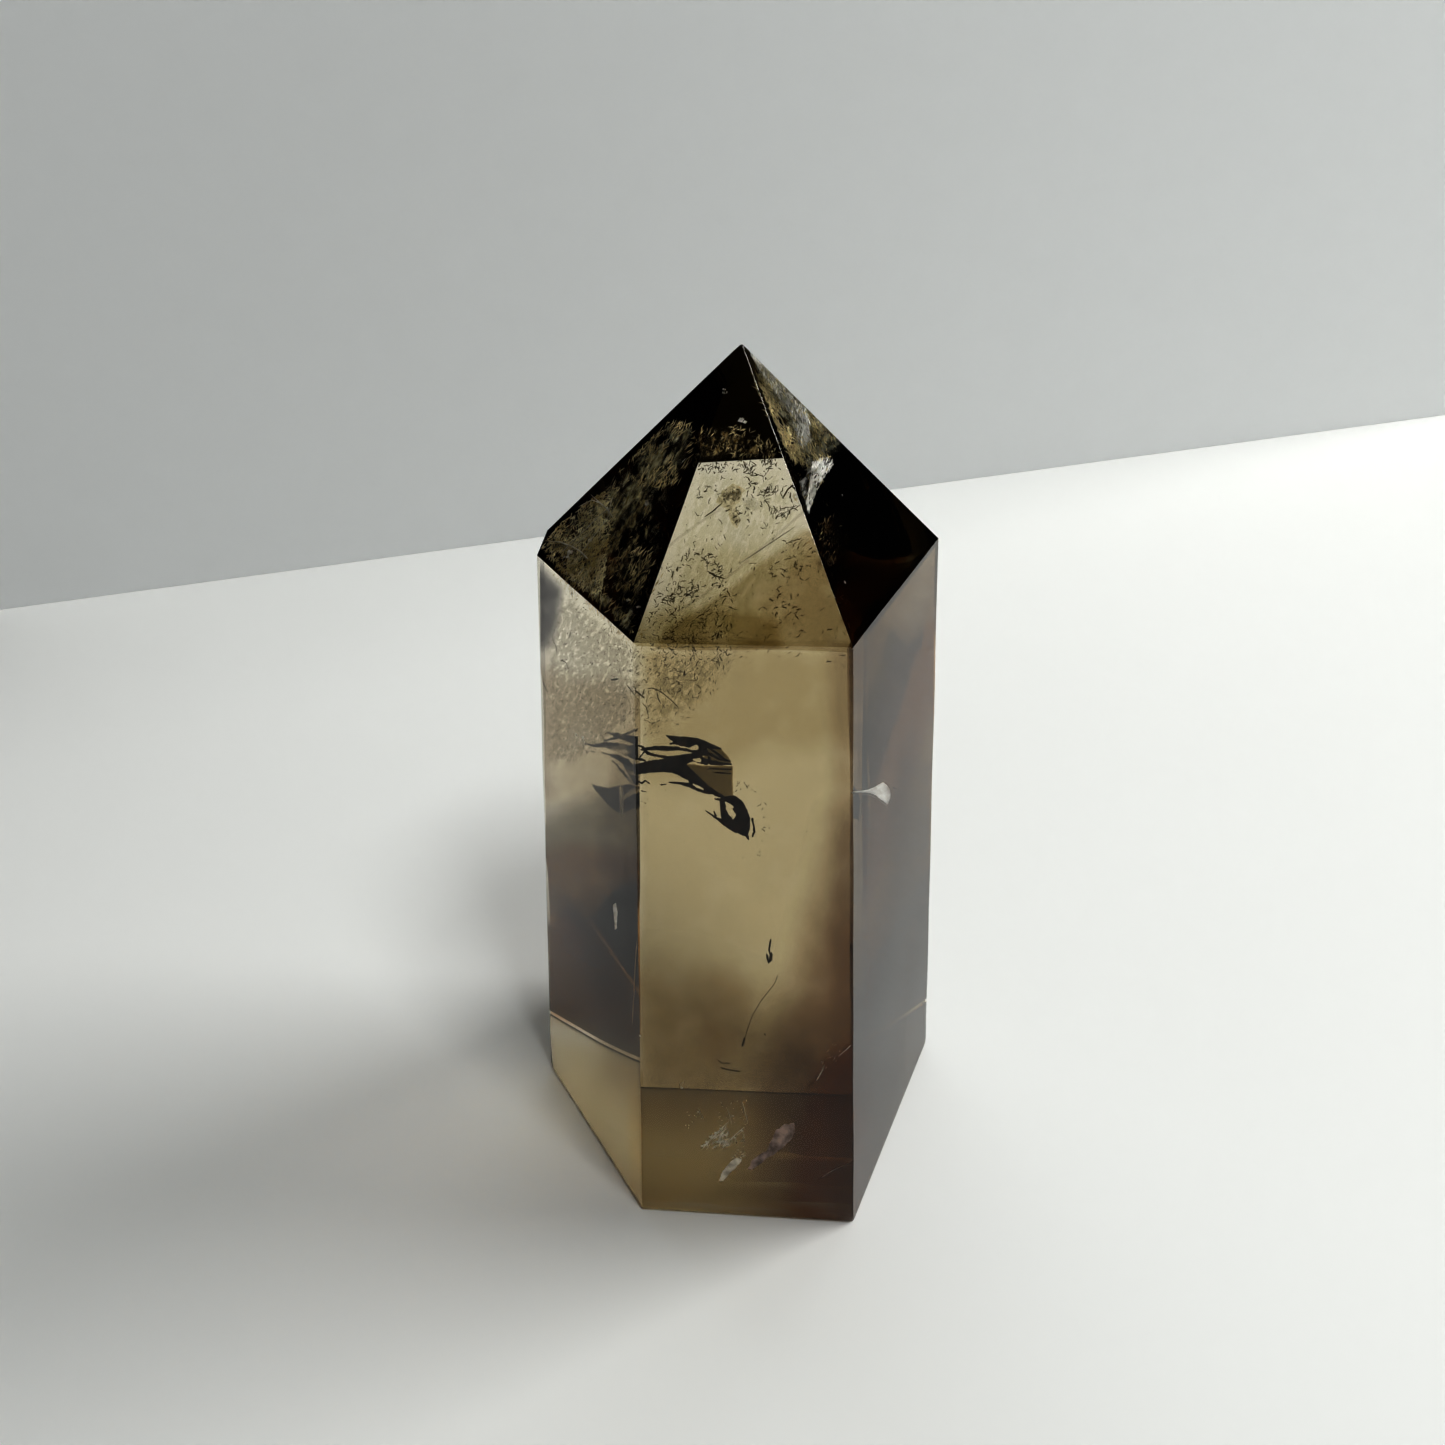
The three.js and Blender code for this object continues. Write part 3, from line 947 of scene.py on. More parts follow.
# ------------------------------------------------------------------ hairs and specks
def hair_cloud():
    b = Bundle()
    rng = np.random.RandomState(77)

    def hairs(face, outline, count, near, far, length, radius, weight=None, lean=None):
        for u, v, p in scatter(face, outline, count, near, far, rng, weight):
            depth = 0.5 * (near + far)
            ang = rng.uniform(0, 360) if lean is None else rng.normal(lean, 32)
            n = rng.randint(4, 7)
            step = rng.uniform(*length) / n
            pts = [p]
            for _ in range(n):
                ang += rng.normal(0, 24)
                ax = screen_axis(face, u, v, depth, ang) + rng.normal(0, 0.25, 3)
                pts.append(pts[-1] + ax / np.linalg.norm(ax) * step)
            if all(inside_crystal(q) for q in pts):
                r = rng.uniform(*radius)
                b.add(*strand(pts, [r * (0.6 + 0.8 * rng.rand()) for _ in pts], 4))

    def clumps(scale, cut, seed):
        return lambda u, v: 1.0 if float(fbm([u / scale, v / scale, seed], 3)) > cut else 0.12

    def specks(face, outline, count, near, far, size, weight=None):
        for u, v, p in scatter(face, outline, count, near, far, rng, weight):
            s = rng.uniform(*size)
            b.add(*shard(p, rng.normal(size=3), rng.normal(size=3), s * rng.uniform(1.2, 3.0), s, s * 0.7))

    window = [(697, 462), (779, 459), (852, 643), (638, 641)]
    top = [(697, 460), (779, 457), (783, 472), (693, 474)]
    hairs("tip_front", window, 210, 0.8, 14, (0.2, 0.8), (0.019, 0.043), clumps(13, 0.5, 3.0), 66)
    hairs("tip_front", top, 40, 0.6, 4, (0.2, 0.9), (0.024, 0.050), clumps(8, 0.48, 8.0), 62)
    hairs("tip_front", [(738, 466), (779, 464), (798, 516), (776, 526), (758, 500)], 90, 0.6, 5, (0.25, 1.0), (0.021, 0.048),
          clumps(9, 0.5, 5.0), 64)
    hairs("tip_front", [(702, 470), (732, 468), (728, 500), (690, 512)], 20, 0.6, 6, (0.25, 0.7), (0.020, 0.046), clumps(8, 0.48, 1.0), 60)
    hairs("tip_front", [(714, 486), (760, 482), (765, 500), (742, 530), (722, 512)], 26, 3, 5, (0.2, 0.6), (0.030, 0.055))
    hairs("tip_front", [(640, 641), (662, 588), (700, 590), (722, 610), (720, 641)], 130, 0.8, 8, (0.2, 0.8), (0.020, 0.046), clumps(11, 0.48, 2.0))
    hairs("tip_front", [(664, 565), (712, 545), (724, 585), (676, 600)], 70, 0.8, 8, (0.2, 0.8), (0.020, 0.046), clumps(9, 0.5, 6.0), 66)
    hairs("tip_front", [(780, 535), (815, 545), (812, 575), (785, 585)], 26, 0.8, 8, (0.2, 0.8), (0.018, 0.044), lean=68)
    hairs("tip_front", [(770, 590), (800, 585), (800, 625), (775, 628)], 14, 0.8, 8, (0.25, 0.8), (0.030, 0.050), lean=66)
    specks("tip_front", window, 150, 0.8, 18, (0.05, 0.10))
    specks("tip_front", top, 24, 0.6, 5, (0.05, 0.10))
    specks("tip_front", [(640, 641), (668, 570), (730, 590), (740, 641)], 120, 0.8, 10, (0.05, 0.11))
    olive = [(640, 650), (738, 650), (716, 694), (692, 716), (660, 736), (642, 742)]
    hairs("front", olive, 90, 1.5, 9, (0.25, 0.8), (0.020, 0.036), lean=60)
    hairs("front", [(641, 650), (700, 650), (690, 690), (643, 700)], 40, 1.5, 8, (0.25, 0.7), (0.020, 0.036))
    specks("front", olive, 240, 1.5, 12, (0.04, 0.09))
    specks("front", [(640, 650), (850, 650), (850, 900), (640, 980)], 110, 3, 30, (0.05, 0.09))
    specks("front", [(642, 900), (780, 900), (780, 1080), (642, 1085)], 80, 3, 30, (0.04, 0.08))
    left = [(545, 622), (566, 590), (633, 645), (634, 730), (605, 752), (548, 762)]
    hairs("front_left", left, 260, 0.3, 2.5, (0.25, 0.8), (0.022, 0.040), lean=60)
    specks("front_left", left, 820, 0.3, 3, (0.03, 0.09))
    specks("front_left", [(545, 700), (634, 700), (634, 800), (548, 800)], 120, 0.8, 10, (0.04, 0.10))
    # single marks that stand out
    for face, depth, pts, r in (
        ("front_left", 3.0, [(552, 636), (553.5, 641), (556, 646), (556.5, 651)], 0.07),
        ("front_left", 3.0, [(560, 661), (563, 660.5), (566.5, 663), (568, 668)], 0.06),
        ("front_left", 2.0, [(542, 680), (544, 685), (547, 691)], 0.09),
        ("front_left", 4.0, [(610, 680), (613.5, 679.6), (617, 679)], 0.10),
        ("front_left", 1.5, [(626, 684), (629, 688), (633, 693), (636, 697)], 0.07),
        ("front", 3.0, [(646, 689), (652, 688), (658, 690), (664, 694), (671, 700), (677, 706)], 0.04),
        ("front", 3.0, [(641, 699), (643, 694), (644, 690)], 0.035),
        ("front", 3.0, [(657, 692), (658, 698), (660, 702)], 0.045),
        ("front", 4.0, [(641, 702), (646, 707), (648, 714)], 0.035),
        ("front", 5.0, [(684, 677), (684.6, 672)], 0.08),
        ("tip_front", 6.0, [(800, 482), (793, 485), (788, 489), (784, 496)], 0.07),
        ("tip_front", 6.0, [(790, 484), (796, 490)], 0.06),
        ("tip_front", 9.0, [(703, 518), (712, 512), (720, 505)], 0.05),
        ("tip_front", 12.0, [(706, 570), (713, 575), (722, 578)], 0.06),
        ("front", 12.0, [(717, 1059), (722, 1063), (729, 1063)], 0.07),
        ("front", 12.0, [(719, 1067), (728, 1069.5), (738, 1071)], 0.11),
        ("front", 14.0, [(742, 1047), (743.5, 1042), (744.5, 1038)], 0.13),
        ("front", 14.0, [(744.5, 1040), (748, 1027), (752, 1016), (760, 1002), (768, 992), (775, 983), (777, 977)], 0.035),
        ("front", 11.0, [(771, 938), (770, 944), (769, 950), (770.5, 955), (769.5, 961)], 0.10),
        ("front", 11.0, [(766.5, 953), (767.5, 958), (769, 963), (771, 960), (771.5, 954)], 0.13),
        ("front", 16.0, [(764, 1033), (765, 1035)], 0.10),
    ):
        p = [at(face, u, v, depth) for u, v in pts]
        p = [p[0]] + [p[0] * 0.5 + p[1] * 0.5] + p[1:] + [p[-1] * 2 - (p[-2] * 0.4 + p[-1] * 0.6)]
        p = [q for q in p if inside_crystal(q, r + 0.03)]
        if len(p) > 2:
            b.add(*strand(p, [r] * len(p), 5))
    return b.done("dark_hairs", mat_solid("hair_olive", (0.020, 0.014, 0.004), (0.085, 0.062, 0.020), 700, 0.5, 0.25))


# ------------------------------------------------------------------ wisps lit against the dark tip
def wisps():
    rng = np.random.RandomState(31)
    warm, pale, gold = Bundle(), Bundle(), Bundle()

    def flakes(bundle, face, outline, count, near, far, angle, spread, length, width, weight=None, loose=0.09):
        for u, v, p in scatter(face, outline, count, near, far, rng, weight):
            tilt = toward(face, u, v, (0.0, 0.36, 0.933))[2] + rng.normal(0, loose, 3)
            tilt /= np.linalg.norm(tilt)
            ax = screen_axis(face, u, v, 0.5 * (near + far), rng.normal(angle, spread))
            ax = ax - tilt * (ax @ tilt)
            w = rng.uniform(*width)
            bundle.add(*shard(p, ax, np.cross(tilt, ax), rng.uniform(*length), w, 0.16 * w))

    def patchy(scale, cut, seed, least=0.04):
        return lambda u, v: 1.0 if float(fbm([u / scale, v / scale, seed], 3)) > cut else least

    upper = [(612, 480), (642, 447), (668, 421), (694, 424), (692, 452), (680, 482), (650, 490), (622, 505)]
    corner = [(541, 546), (560, 524), (582, 505), (606, 490), (618, 512), (608, 540), (606, 570), (600, 596), (584, 590), (560, 570), (545, 556)]
    middle = [(582, 507), (612, 485), (646, 500), (652, 520), (640, 560), (634, 600), (612, 600), (596, 560)]
    low = [(556, 566), (588, 570), (612, 596), (636, 600), (633, 634), (606, 612), (570, 586)]
    flakes(warm, "tip_front_left", upper, 420, 0.4, 4.0, 62, 16, (0.3, 1.2), (0.05, 0.14), patchy(10, 0.50, 1.0, 0.03))
    flakes(gold, "tip_front_left", corner, 1900, 0.15, 1.0, 58, 24, (0.25, 0.8), (0.05, 0.15), patchy(6, 0.45, 4.0, 0.22), 0.05)
    flakes(gold, "tip_front_left", [(588, 560), (598, 556), (604, 590), (602, 604), (590, 596), (584, 580)], 120, 0.3, 2.5, 84, 10,
           (0.3, 1.0), (0.05, 0.12), None, 0.07)
    flakes(warm, "tip_front_left", middle, 260, 0.5, 6.0, 66, 18, (0.3, 1.0), (0.03, 0.10), patchy(12, 0.55, 4.0, 0.03))
    flakes(warm, "tip_front_left", [(630, 552), (650, 540), (656, 560), (640, 592), (628, 582)], 110, 0.4, 4.0, 62, 16, (0.3, 1.0),
           (0.05, 0.12), patchy(8, 0.46, 9.0, 0.1))
    flakes(warm, "tip_front_left", low, 230, 0.4, 4.0, 66, 18, (0.3, 1.0), (0.05, 0.12), patchy(8, 0.50, 8.0))
    flakes(warm, "tip_front", [(697, 430), (742, 424), (778, 446), (776, 457), (696, 459)], 120, 0.6, 4.0, 75, 40, (0.2, 0.7),
           (0.05, 0.12), patchy(8, 0.52, 2.0))
    ridge = [(754, 362), (776, 376), (806, 402), (840, 438), (832, 456), (808, 466), (792, 462), (781, 438), (769, 408), (758, 380)]
    flakes(warm, "tip_front_right", ridge, 1500, 0.2, 1.0, 112, 18, (0.3, 1.1), (0.07, 0.18), patchy(9, 0.46, 12.0, 0.2), 0.05)
    flakes(pale, "tip_front_right", [(750, 354), (764, 362), (786, 384), (806, 405), (810, 424), (806, 444), (798, 444), (792, 418), (778, 396)],
           900, 0.2, 1.0, 104, 14, (0.4, 1.2), (0.07, 0.18), patchy(7, 0.44, 6.5, 0.15), 0.04)
    flakes(pale, "tip_front_right", [(798, 412), (806, 410), (811, 440), (802, 446)], 420, 0.2, 0.9, 100, 12, (0.4, 1.2), (0.08, 0.18),
           None, 0.04)
    flakes(pale, "tip_front_right", [(812, 462), (826, 455), (834, 464), (824, 478), (816, 492), (809, 512), (806, 502), (810, 480)],
           760, 0.2, 1.0, 66, 12, (0.3, 1.0), (0.05, 0.14), patchy(6, 0.40, 21.0, 0.35), 0.05)
    flakes(warm, "tip_front_right", [(797, 455), (806, 462), (838, 440), (834, 456), (828, 472), (812, 505), (806, 506), (798, 480)],
           90, 0.4, 2.5, 75, 20, (0.3, 1.0), (0.05, 0.13), patchy(7, 0.50, 17.0))
    flakes(warm, "tip_front_right", [(814, 524), (832, 512), (850, 520), (848, 545), (838, 566), (826, 556)], 50, 0.5, 3.0, 75, 20,
           (0.2, 0.8), (0.03, 0.08), patchy(7, 0.50, 19.0))
    flakes(pale, "tip_front_left", corner, 34, 0.3, 3.0, 60, 18, (0.3, 1.1), (0.03, 0.08))
    flakes(pale, "tip_front_left", upper, 26, 0.4, 3.0, 62, 14, (0.3, 1.0), (0.03, 0.07), patchy(10, 0.53, 6.0))
    for u, v, s in ((741, 421, 0.24), (637, 607, 0.22), (629, 600, 0.2), (725, 392, 0.2),
                    (646, 504, 0.35), (571, 552, 0.42), (567, 557, 0.32)):
        face = "tip_front" if 700 < u < 760 else ("tip_front_right" if u > 760 else "tip_front_left")
        for _ in range(4):
            q = at(face, u + rng.normal(0, 1.2), v + rng.normal(0, 1.2), 0.5)
            pale.add(*shard(q, rng.normal(size=3), rng.normal(size=3), s * 1.5, s, 0.12))
    warm.done("brown_wisps", mat_glint("wisp_brown", (0.14, 0.10, 0.03), (0.96, 0.82, 0.48), 2.2, 0.34))
    gold.done("gold_wisps", mat_glint("wisp_gold", (0.48, 0.38, 0.17), (0.99, 0.92, 0.62), 2.6, 0.30))
    pale.done("pale_wisps", mat_glint("wisp_pale", (0.50, 0.48, 0.43), (0.99, 0.98, 0.95), 2.2, 0.30))


def haze_sheets():
    def sheet(name, face, outline, cell, depth, mat, ragged=3.0, taper=7.0, seed=1.0, half=0.04, lean=0.0):
        xs, ys = [q[0] for q in outline], [q[1] for q in outline]
        b = Bundle()
        b.add(*leaf(lambda u, v: polygon(u, v, outline) + ragged * (fbm(grid3(u * 0.16, v * 0.16, seed), 3) - 0.5),
                    (min(xs) - 4, min(ys) - 4, max(xs) + 4, max(ys) + 4), cell,
                    lambda u, v: at(face, u, v, depth(u, v)), half, taper, lean))
        return b.done(name, mat, True)

    # pale cloud under the right ridge
    sheet("ridge_cloud", "tip_front_right",
          [(754, 352), (776, 368), (812, 404), (846, 436), (838, 456), (816, 466), (806, 476), (798, 452), (786, 430), (773, 408), (760, 380)],
          1.2, lambda u, v: 0.22 + 0.003 * (v - 350),
          mat_haze("ridge_cloud_grey", (0.13, 0.11, 0.04), (0.80, 0.77, 0.58), 8.0, 0.28, 0.60, 0.45, stretch=(0.6, 1.0, 1.0)),
          ragged=6, taper=5, seed=2.2, lean=-62)
    sheet("ridge_cloud_bright", "tip_front_right",
          [(758, 362), (780, 378), (806, 402), (812, 424), (808, 446), (799, 450), (795, 430), (784, 412), (768, 388)],
          1.0, lambda u, v: 0.12 + 0.002 * (v - 350),
          mat_haze("ridge_cloud_frost", (0.72, 0.70, 0.64), (0.99, 0.98, 0.95), 10.0, 0.50, 0.63, 0.30, stretch=(0.5, 1.0, 1.0), back=0.3),
          ragged=10, taper=6, seed=5.2, lean=-66)
    # the white streak below it
    sheet("white_streak", "tip_front_right",
          [(803, 468), (811, 456), (822, 452), (837, 458), (831, 470), (820, 482), (812, 496), (807.5, 516), (804, 504), (801, 490), (799, 478)],
          0.9, lambda u, v: 0.9 + 0.004 * (v - 450),
          mat_haze("white_streak_frost", (0.50, 0.48, 0.42), (0.99, 0.98, 0.95), 15.0, 0.46, 0.66, 0.70, stretch=(0.45, 1.0, 1.0), back=0.35),
          ragged=9, taper=5, seed=4.2, lean=60)
    # dusty mottling behind the left face
    left = [(543, 640), (552, 606), (570, 592), (633, 645), (636, 700), (628, 728), (596, 752), (570, 768), (547, 762)]
    sheet("left_mottle", "front_left", left, 2.0, lambda u, v: 0.9 + 0.006 * (v - 600) + 0.01 * (u - 545),
          mat_smoke_and_painted_shade("left_mottle_dust", (0.40, 0.43, 0.48), 24.0, 2.0, (0.6, 1.0, 1.0)), ragged=10, taper=14, seed=6.2, lean=62)
    sheet("left_mottle_deep", "front_left", left, 2.0, lambda u, v: 2.4 + 0.01 * (u - 545),
          mat_haze("left_mottle_brown", (0.07, 0.05, 0.02), (0.24, 0.19, 0.10), 30.0, 0.60, 0.72, 0.55, stretch=(0.5, 1.0, 1.0)),
          ragged=10, taper=12, seed=7.2, lean=60)
    # olive dust at the top left of the front face
    olive = [(641, 651), (742, 651), (716, 690), (692, 716), (660, 736), (642, 742)]
    sheet("front_mottle", "front", olive, 2.0, lambda u, v: 2.2 + 0.02 * (u - 640),
          mat_smoke_and_painted_shade("front_mottle_dust", (0.30, 0.32, 0.40), 14.0, 3.6, (0.6, 1.0, 1.0)), ragged=12, taper=26, seed=8.2, lean=62)
    sheet("front_mottle_deep", "front", olive, 2.0, lambda u, v: 4.2 + 0.02 * (u - 640),
          mat_haze("front_mottle_olive", (0.07, 0.055, 0.02), (0.24, 0.20, 0.10), 30.0, 0.62, 0.74, 0.5, stretch=(0.45, 1.0, 1.0)),
          ragged=12, taper=20, seed=18.2, lean=60)
    # fine olive grain in the window
    sheet("window_grain", "tip_front", [(690, 470), (782, 466), (815, 560), (760, 600), (735, 640), (640, 640), (668, 560)],
          2.0, lambda u, v: 2.4 + 0.01 * (v - 460),
          mat_smoke_and_painted_shade("window_grain_olive", (0.10, 0.10, 0.16), 16.0, 4.0, (0.4, 1.0, 1.0)),
          ragged=8, taper=22, seed=9.2, lean=66)
    # the brown smudge with a pale rim near the top of the window
    sheet("window_smudge", "tip_front", [(715, 503), (721, 490), (735, 485), (746, 490), (740, 499), (735, 508), (741, 520), (736, 527), (730, 518), (727, 508)],
          0.9, lambda u, v: 4 + 0 * u,
          mat_haze("window_smudge_brown", (0.14, 0.10, 0.03), (0.46, 0.37, 0.18), 11.0, 0.36, 0.62, 0.48, tint=(0.98, 0.96, 0.90)),
          ragged=8, taper=5, seed=3.2)
    sheet("window_smudge_pale", "tip_front", [(739, 499), (750, 494), (761, 502), (757, 512), (746, 513)],
          0.9, lambda u, v: 3.4 + 0 * u,
          mat_haze("window_smudge_gold", (0.62, 0.56, 0.34), (0.95, 0.92, 0.72), 9.0, 0.30, 0.60, 0.16), ragged=4, taper=5, seed=3.6)
    # brown glow of the left tip
    brown = mat_haze("tip_left_brown", (0.24, 0.19, 0.07), (0.96, 0.93, 0.66), 13.0, 0.44, 0.62, 0.95, stretch=(0.35, 1.0, 1.0), back=0.3)
    sheet("tip_left_glow", "tip_front_left",
          [(547, 543), (582, 512), (612, 486), (650, 474), (660, 492), (650, 512), (622, 520), (606, 548), (600, 576), (608, 590), (596, 592),
           (572, 576)],
          1.5, lambda u, v: 1.0 + 0.01 * (u - 550), brown, ragged=16, taper=11, seed=11.2, lean=62)
    sheet("tip_left_high_glow", "tip_front_left", [(612, 486), (640, 450), (668, 424), (693, 426), (692, 446), (676, 474), (652, 488), (630, 500)],
          1.5, lambda u, v: 1.3 + 0 * u, brown, ragged=14, taper=11, seed=12.2, lean=62)
    sheet("tip_left_low_glow", "tip_front_left", [(562, 570), (596, 580), (612, 600), (632, 600), (634, 634), (622, 628), (596, 600), (572, 582)],
          1.5, lambda u, v: 0.9 + 0 * u, brown, ragged=9, taper=8, seed=15.2, lean=72)
    sheet("tip_left_deep_glow", "tip_front_left",
          [(552, 548), (600, 500), (660, 444), (692, 440), (668, 500), (655, 560), (640, 600), (606, 600), (580, 572)],
          2.0, lambda u, v: 2.6 + 0 * u,
          mat_haze("tip_left_deep_brown", (0.16, 0.11, 0.04), (0.80, 0.72, 0.42), 15.0, 0.48, 0.66, 0.85, stretch=(0.35, 1.0, 1.0)),
          ragged=16, taper=16, seed=16.2, lean=66)
    sheet("tip_front_glow", "tip_front", [(699, 430), (736, 424), (758, 438), (777, 452), (775, 458), (697, 459)],
          1.2, lambda u, v: 1.2 + 0 * u,
          mat_haze("tip_front_gold", (0.22, 0.13, 0.03), (0.95, 0.78, 0.42), 16.0, 0.46, 0.64, 0.85, stretch=(0.6, 1.0, 1.0)),
          ragged=10, taper=7, seed=13.2, lean=60)
    # painted light: a dim red sheet for the red-brown light that comes through the thick right of the tip
    sheet("tip_right_glow", "tip_front_right", [(814, 520), (848, 512), (852, 548), (836, 575), (824, 560)],
          1.4, lambda u, v: 2.0 + 0 * u,
          mat_haze("tip_right_painted_glow", (0.08, 0.03, 0.006), (0.50, 0.28, 0.08), 12.0, 0.44, 0.70, 0.6, stretch=(0.4, 1.0, 1.0)),
          ragged=8, taper=9, seed=14.2, lean=62)
    # two faint growth lines that cross the window
    lines = Bundle()
    for pts, seed in (([(803, 512), (770, 541), (737, 570), (700, 597), (668, 618)], 1.0), ([(722, 508), (700, 522), (676, 540), (662, 552)], 2.0)):
        lines.add(*leaf(lambda u, v: stroke(u, v, [(x, y, 2.2) for x, y in pts]) + 0.3 * (fbm(grid3(u * 0.1, v * 0.1, seed), 2) - 0.5),
                        (655, 500, 812, 626), 1.0, lambda u, v: at("tip_front", u, v, 0.8 + 0 * u), 0.03, 2.0, 40))
    lines.done("growth_lines", mat_smoke_and_painted_shade("growth_line_smoke", (0.13, 0.14, 0.15), 8.0, 0.6), True)


# ------------------------------------------------------------------ fractures near the foot
def foot_fractures():
    rng = np.random.RandomState(9)
    b = Bundle()

    def glints(outline, count, near, far, angle, spread, length, width, face="front"):
        n = NORMALS[FACES.index(face)]
        for u, v, p in scatter(face, outline, count, near, far, rng):
            ax = screen_axis(face, u, v, 0.5 * (near + far), rng.normal(angle, spread))
            flat = np.cross(n + rng.normal(0, 0.22, 3), ax)
            b.add(*shard(p, ax, flat, rng.uniform(*length), rng.uniform(*width), 0.03))

    glints([(703, 1144), (722, 1126), (728, 1128), (727, 1146), (708, 1148)], 44, 0.18, 0.45, 46, 14, (0.5, 1.6), (0.08, 0.20))
    glints([(722, 1142), (745, 1128), (744, 1148), (726, 1150)], 24, 0.18, 0.45, 40, 22, (0.3, 1.0), (0.07, 0.15))
    glints([(679, 1110), (700, 1106), (704, 1130), (684, 1130)], 12, 0.2, 0.45, 70, 35, (0.15, 0.45), (0.03, 0.07))
    glints([(716, 1102), (750, 1098), (750, 1124), (720, 1126)], 28, 0.2, 0.45, 70, 35, (0.15, 0.5), (0.03, 0.07))
    glints([(730, 1150), (748, 1149), (744, 1161), (732, 1160)], 12, 0.2, 0.45, 30, 30, (0.2, 0.6), (0.08, 0.16))
    glints([(812, 1050), (845, 1040), (840, 1060), (822, 1075)], 10, 0.4, 1, 45, 14, (0.3, 1.0), (0.03, 0.06))
    glints([(677, 1080), (688, 1084), (686, 1094), (680, 1094)], 6, 0.5, 1.5, 60, 20, (0.3, 0.7), (0.08, 0.14))
    for face, depth, pts, r in (
        ("front", 0.15, [(840, 1055), (846, 1050), (850, 1046)], 0.035),
        ("front", 0.15, [(824, 1176), (832, 1171), (842, 1166), (849, 1163)], 0.03),
        ("front", 0.25, [(818, 1078), (822, 1071), (824, 1066)], 0.05),
        ("front", 0.3, [(704, 1147), (711, 1139), (718, 1132), (726, 1124)], 0.07),
        ("front", 0.3, [(729, 1141), (735, 1135), (742, 1129)], 0.06),
        ("front", 0.3, [(699, 1109), (701, 1114), (703, 1118)], 0.035),
        ("front", 0.3, [(728, 1111), (730, 1117), (731, 1123)], 0.03),
        ("front", 0.3, [(743, 1104), (745, 1112), (747, 1121)], 0.03),
        ("front_left", 0.4, [(636.5, 948), (635, 970), (634, 990), (632.5, 1015)], 0.06),
        # a pale line in the painted reflection of that flake on the left face
        ("front_left", 0.2, [(620.8, 789), (621.3, 800), (622, 812)], 0.045),
        ("tip_front_left", 0.15, [(582, 505), (592, 500), (600, 503), (608, 510)], 0.05),
        ("tip_front_left", 0.15, [(564, 550), (574, 540), (586, 529), (598, 517), (609, 508)], 0.05),
        ("tip_front_left", 0.15, [(612, 499), (610, 506), (608, 514)], 0.06),
        ("tip_front_left", 0.15, [(590, 494), (598, 501), (606, 508), (612, 516)], 0.05),
        ("tip_front_left", 0.15, [(586, 546), (594, 536), (602, 525), (610, 514)], 0.04),
        ("tip_front_left", 0.15, [(570, 547), (580, 541), (590, 533)], 0.045),
        ("tip_front_left", 0.15, [(586, 557), (580, 551), (573, 547), (560, 542), (546, 541)], 0.07),
        ("tip_front_left", 0.15, [(583, 538), (590, 541), (596, 540)], 0.10),
        ("tip_front", 0.3, [(745, 560), (760, 550), (775, 540), (790, 530)], 0.03),
    ):
        p = [at(face, u, v, depth) for u, v in pts]
        p = ends(p, 0.4, r)
        if len(p) > 2:
            b.add(*strand(p, [r] * len(p), 6))
    # small faces tilted so that they catch the pale ceiling on the tip and the lit floor in front elsewhere
    for u, v, face, size in ((576, 735, "front_left", 0.36), (583, 738, "front_left", 0.5), (583.5, 742, "front_left", 0.4), (571, 552, "tip_front_left", 0.42),
                             (567, 557, "tip_front_left", 0.30), (590, 540, "tip_front_left", 0.5), (607, 508, "tip_front_left", 0.34),
                             (741, 420, "tip_front", 0.5), (745, 422, "tip_front", 0.34), (646, 504, "tip_front_left", 0.3),
                             (637, 607, "tip_front_left", 0.22), (629, 600, "tip_front_left", 0.2), (842, 495, "tip_front_right", 0.22),
                             (845, 582, "tip_front_right", 0.26), (640, 1036, "front", 0.22), (853, 649, "front", 0.3),
                             (682, 1088, "front", 0.3), (702, 1146, "front", 0.34), (707, 1142, "front", 0.42),
                             (711, 1137, "front", 0.46), (716, 1133, "front", 0.44), (721, 1129, "front", 0.40),
                             (725, 1135, "front", 0.30), (717, 1142, "front", 0.30), (735, 1138, "front", 0.34),
                             (742, 1131, "front", 0.30), (698, 1112, "front", 0.22), (733, 1116, "front", 0.24)):
        p, d, tilt = toward(face, u, v, (0.0, 0.30, 0.954) if face.startswith("tip") else (-0.2, -0.55, -0.81))
        q = p + d * (0.45 if face.startswith("tip") else 0.22)
        ax = np.cross(tilt, rng.normal(size=3))
        b.add(*shard(q, ax, np.cross(tilt, ax), size * 1.3, size, 0.03))
    b.done("fracture_glints", mat_glint("fracture_foil", (0.62, 0.58, 0.48), (0.98, 0.97, 0.92), 12.0, 0.30))

    def flake(name, face, outline, depth, mat, ragged=1.2, taper=2.0, seed=1.0):
        xs, ys = [q[0] for q in outline], [q[1] for q in outline]
        c = Bundle()
        c.add(*leaf(lambda u, v: polygon(u, v, outline) + ragged * (fbm(grid3(u * 0.35, v * 0.35, seed), 3) - 0.5),
                    (min(xs) - 2, min(ys) - 2, max(xs) + 2, max(ys) + 2), 0.6,
                    lambda u, v: at(face, u, v, depth(u, v)), 0.035, taper))
        return c.done(name, mat)

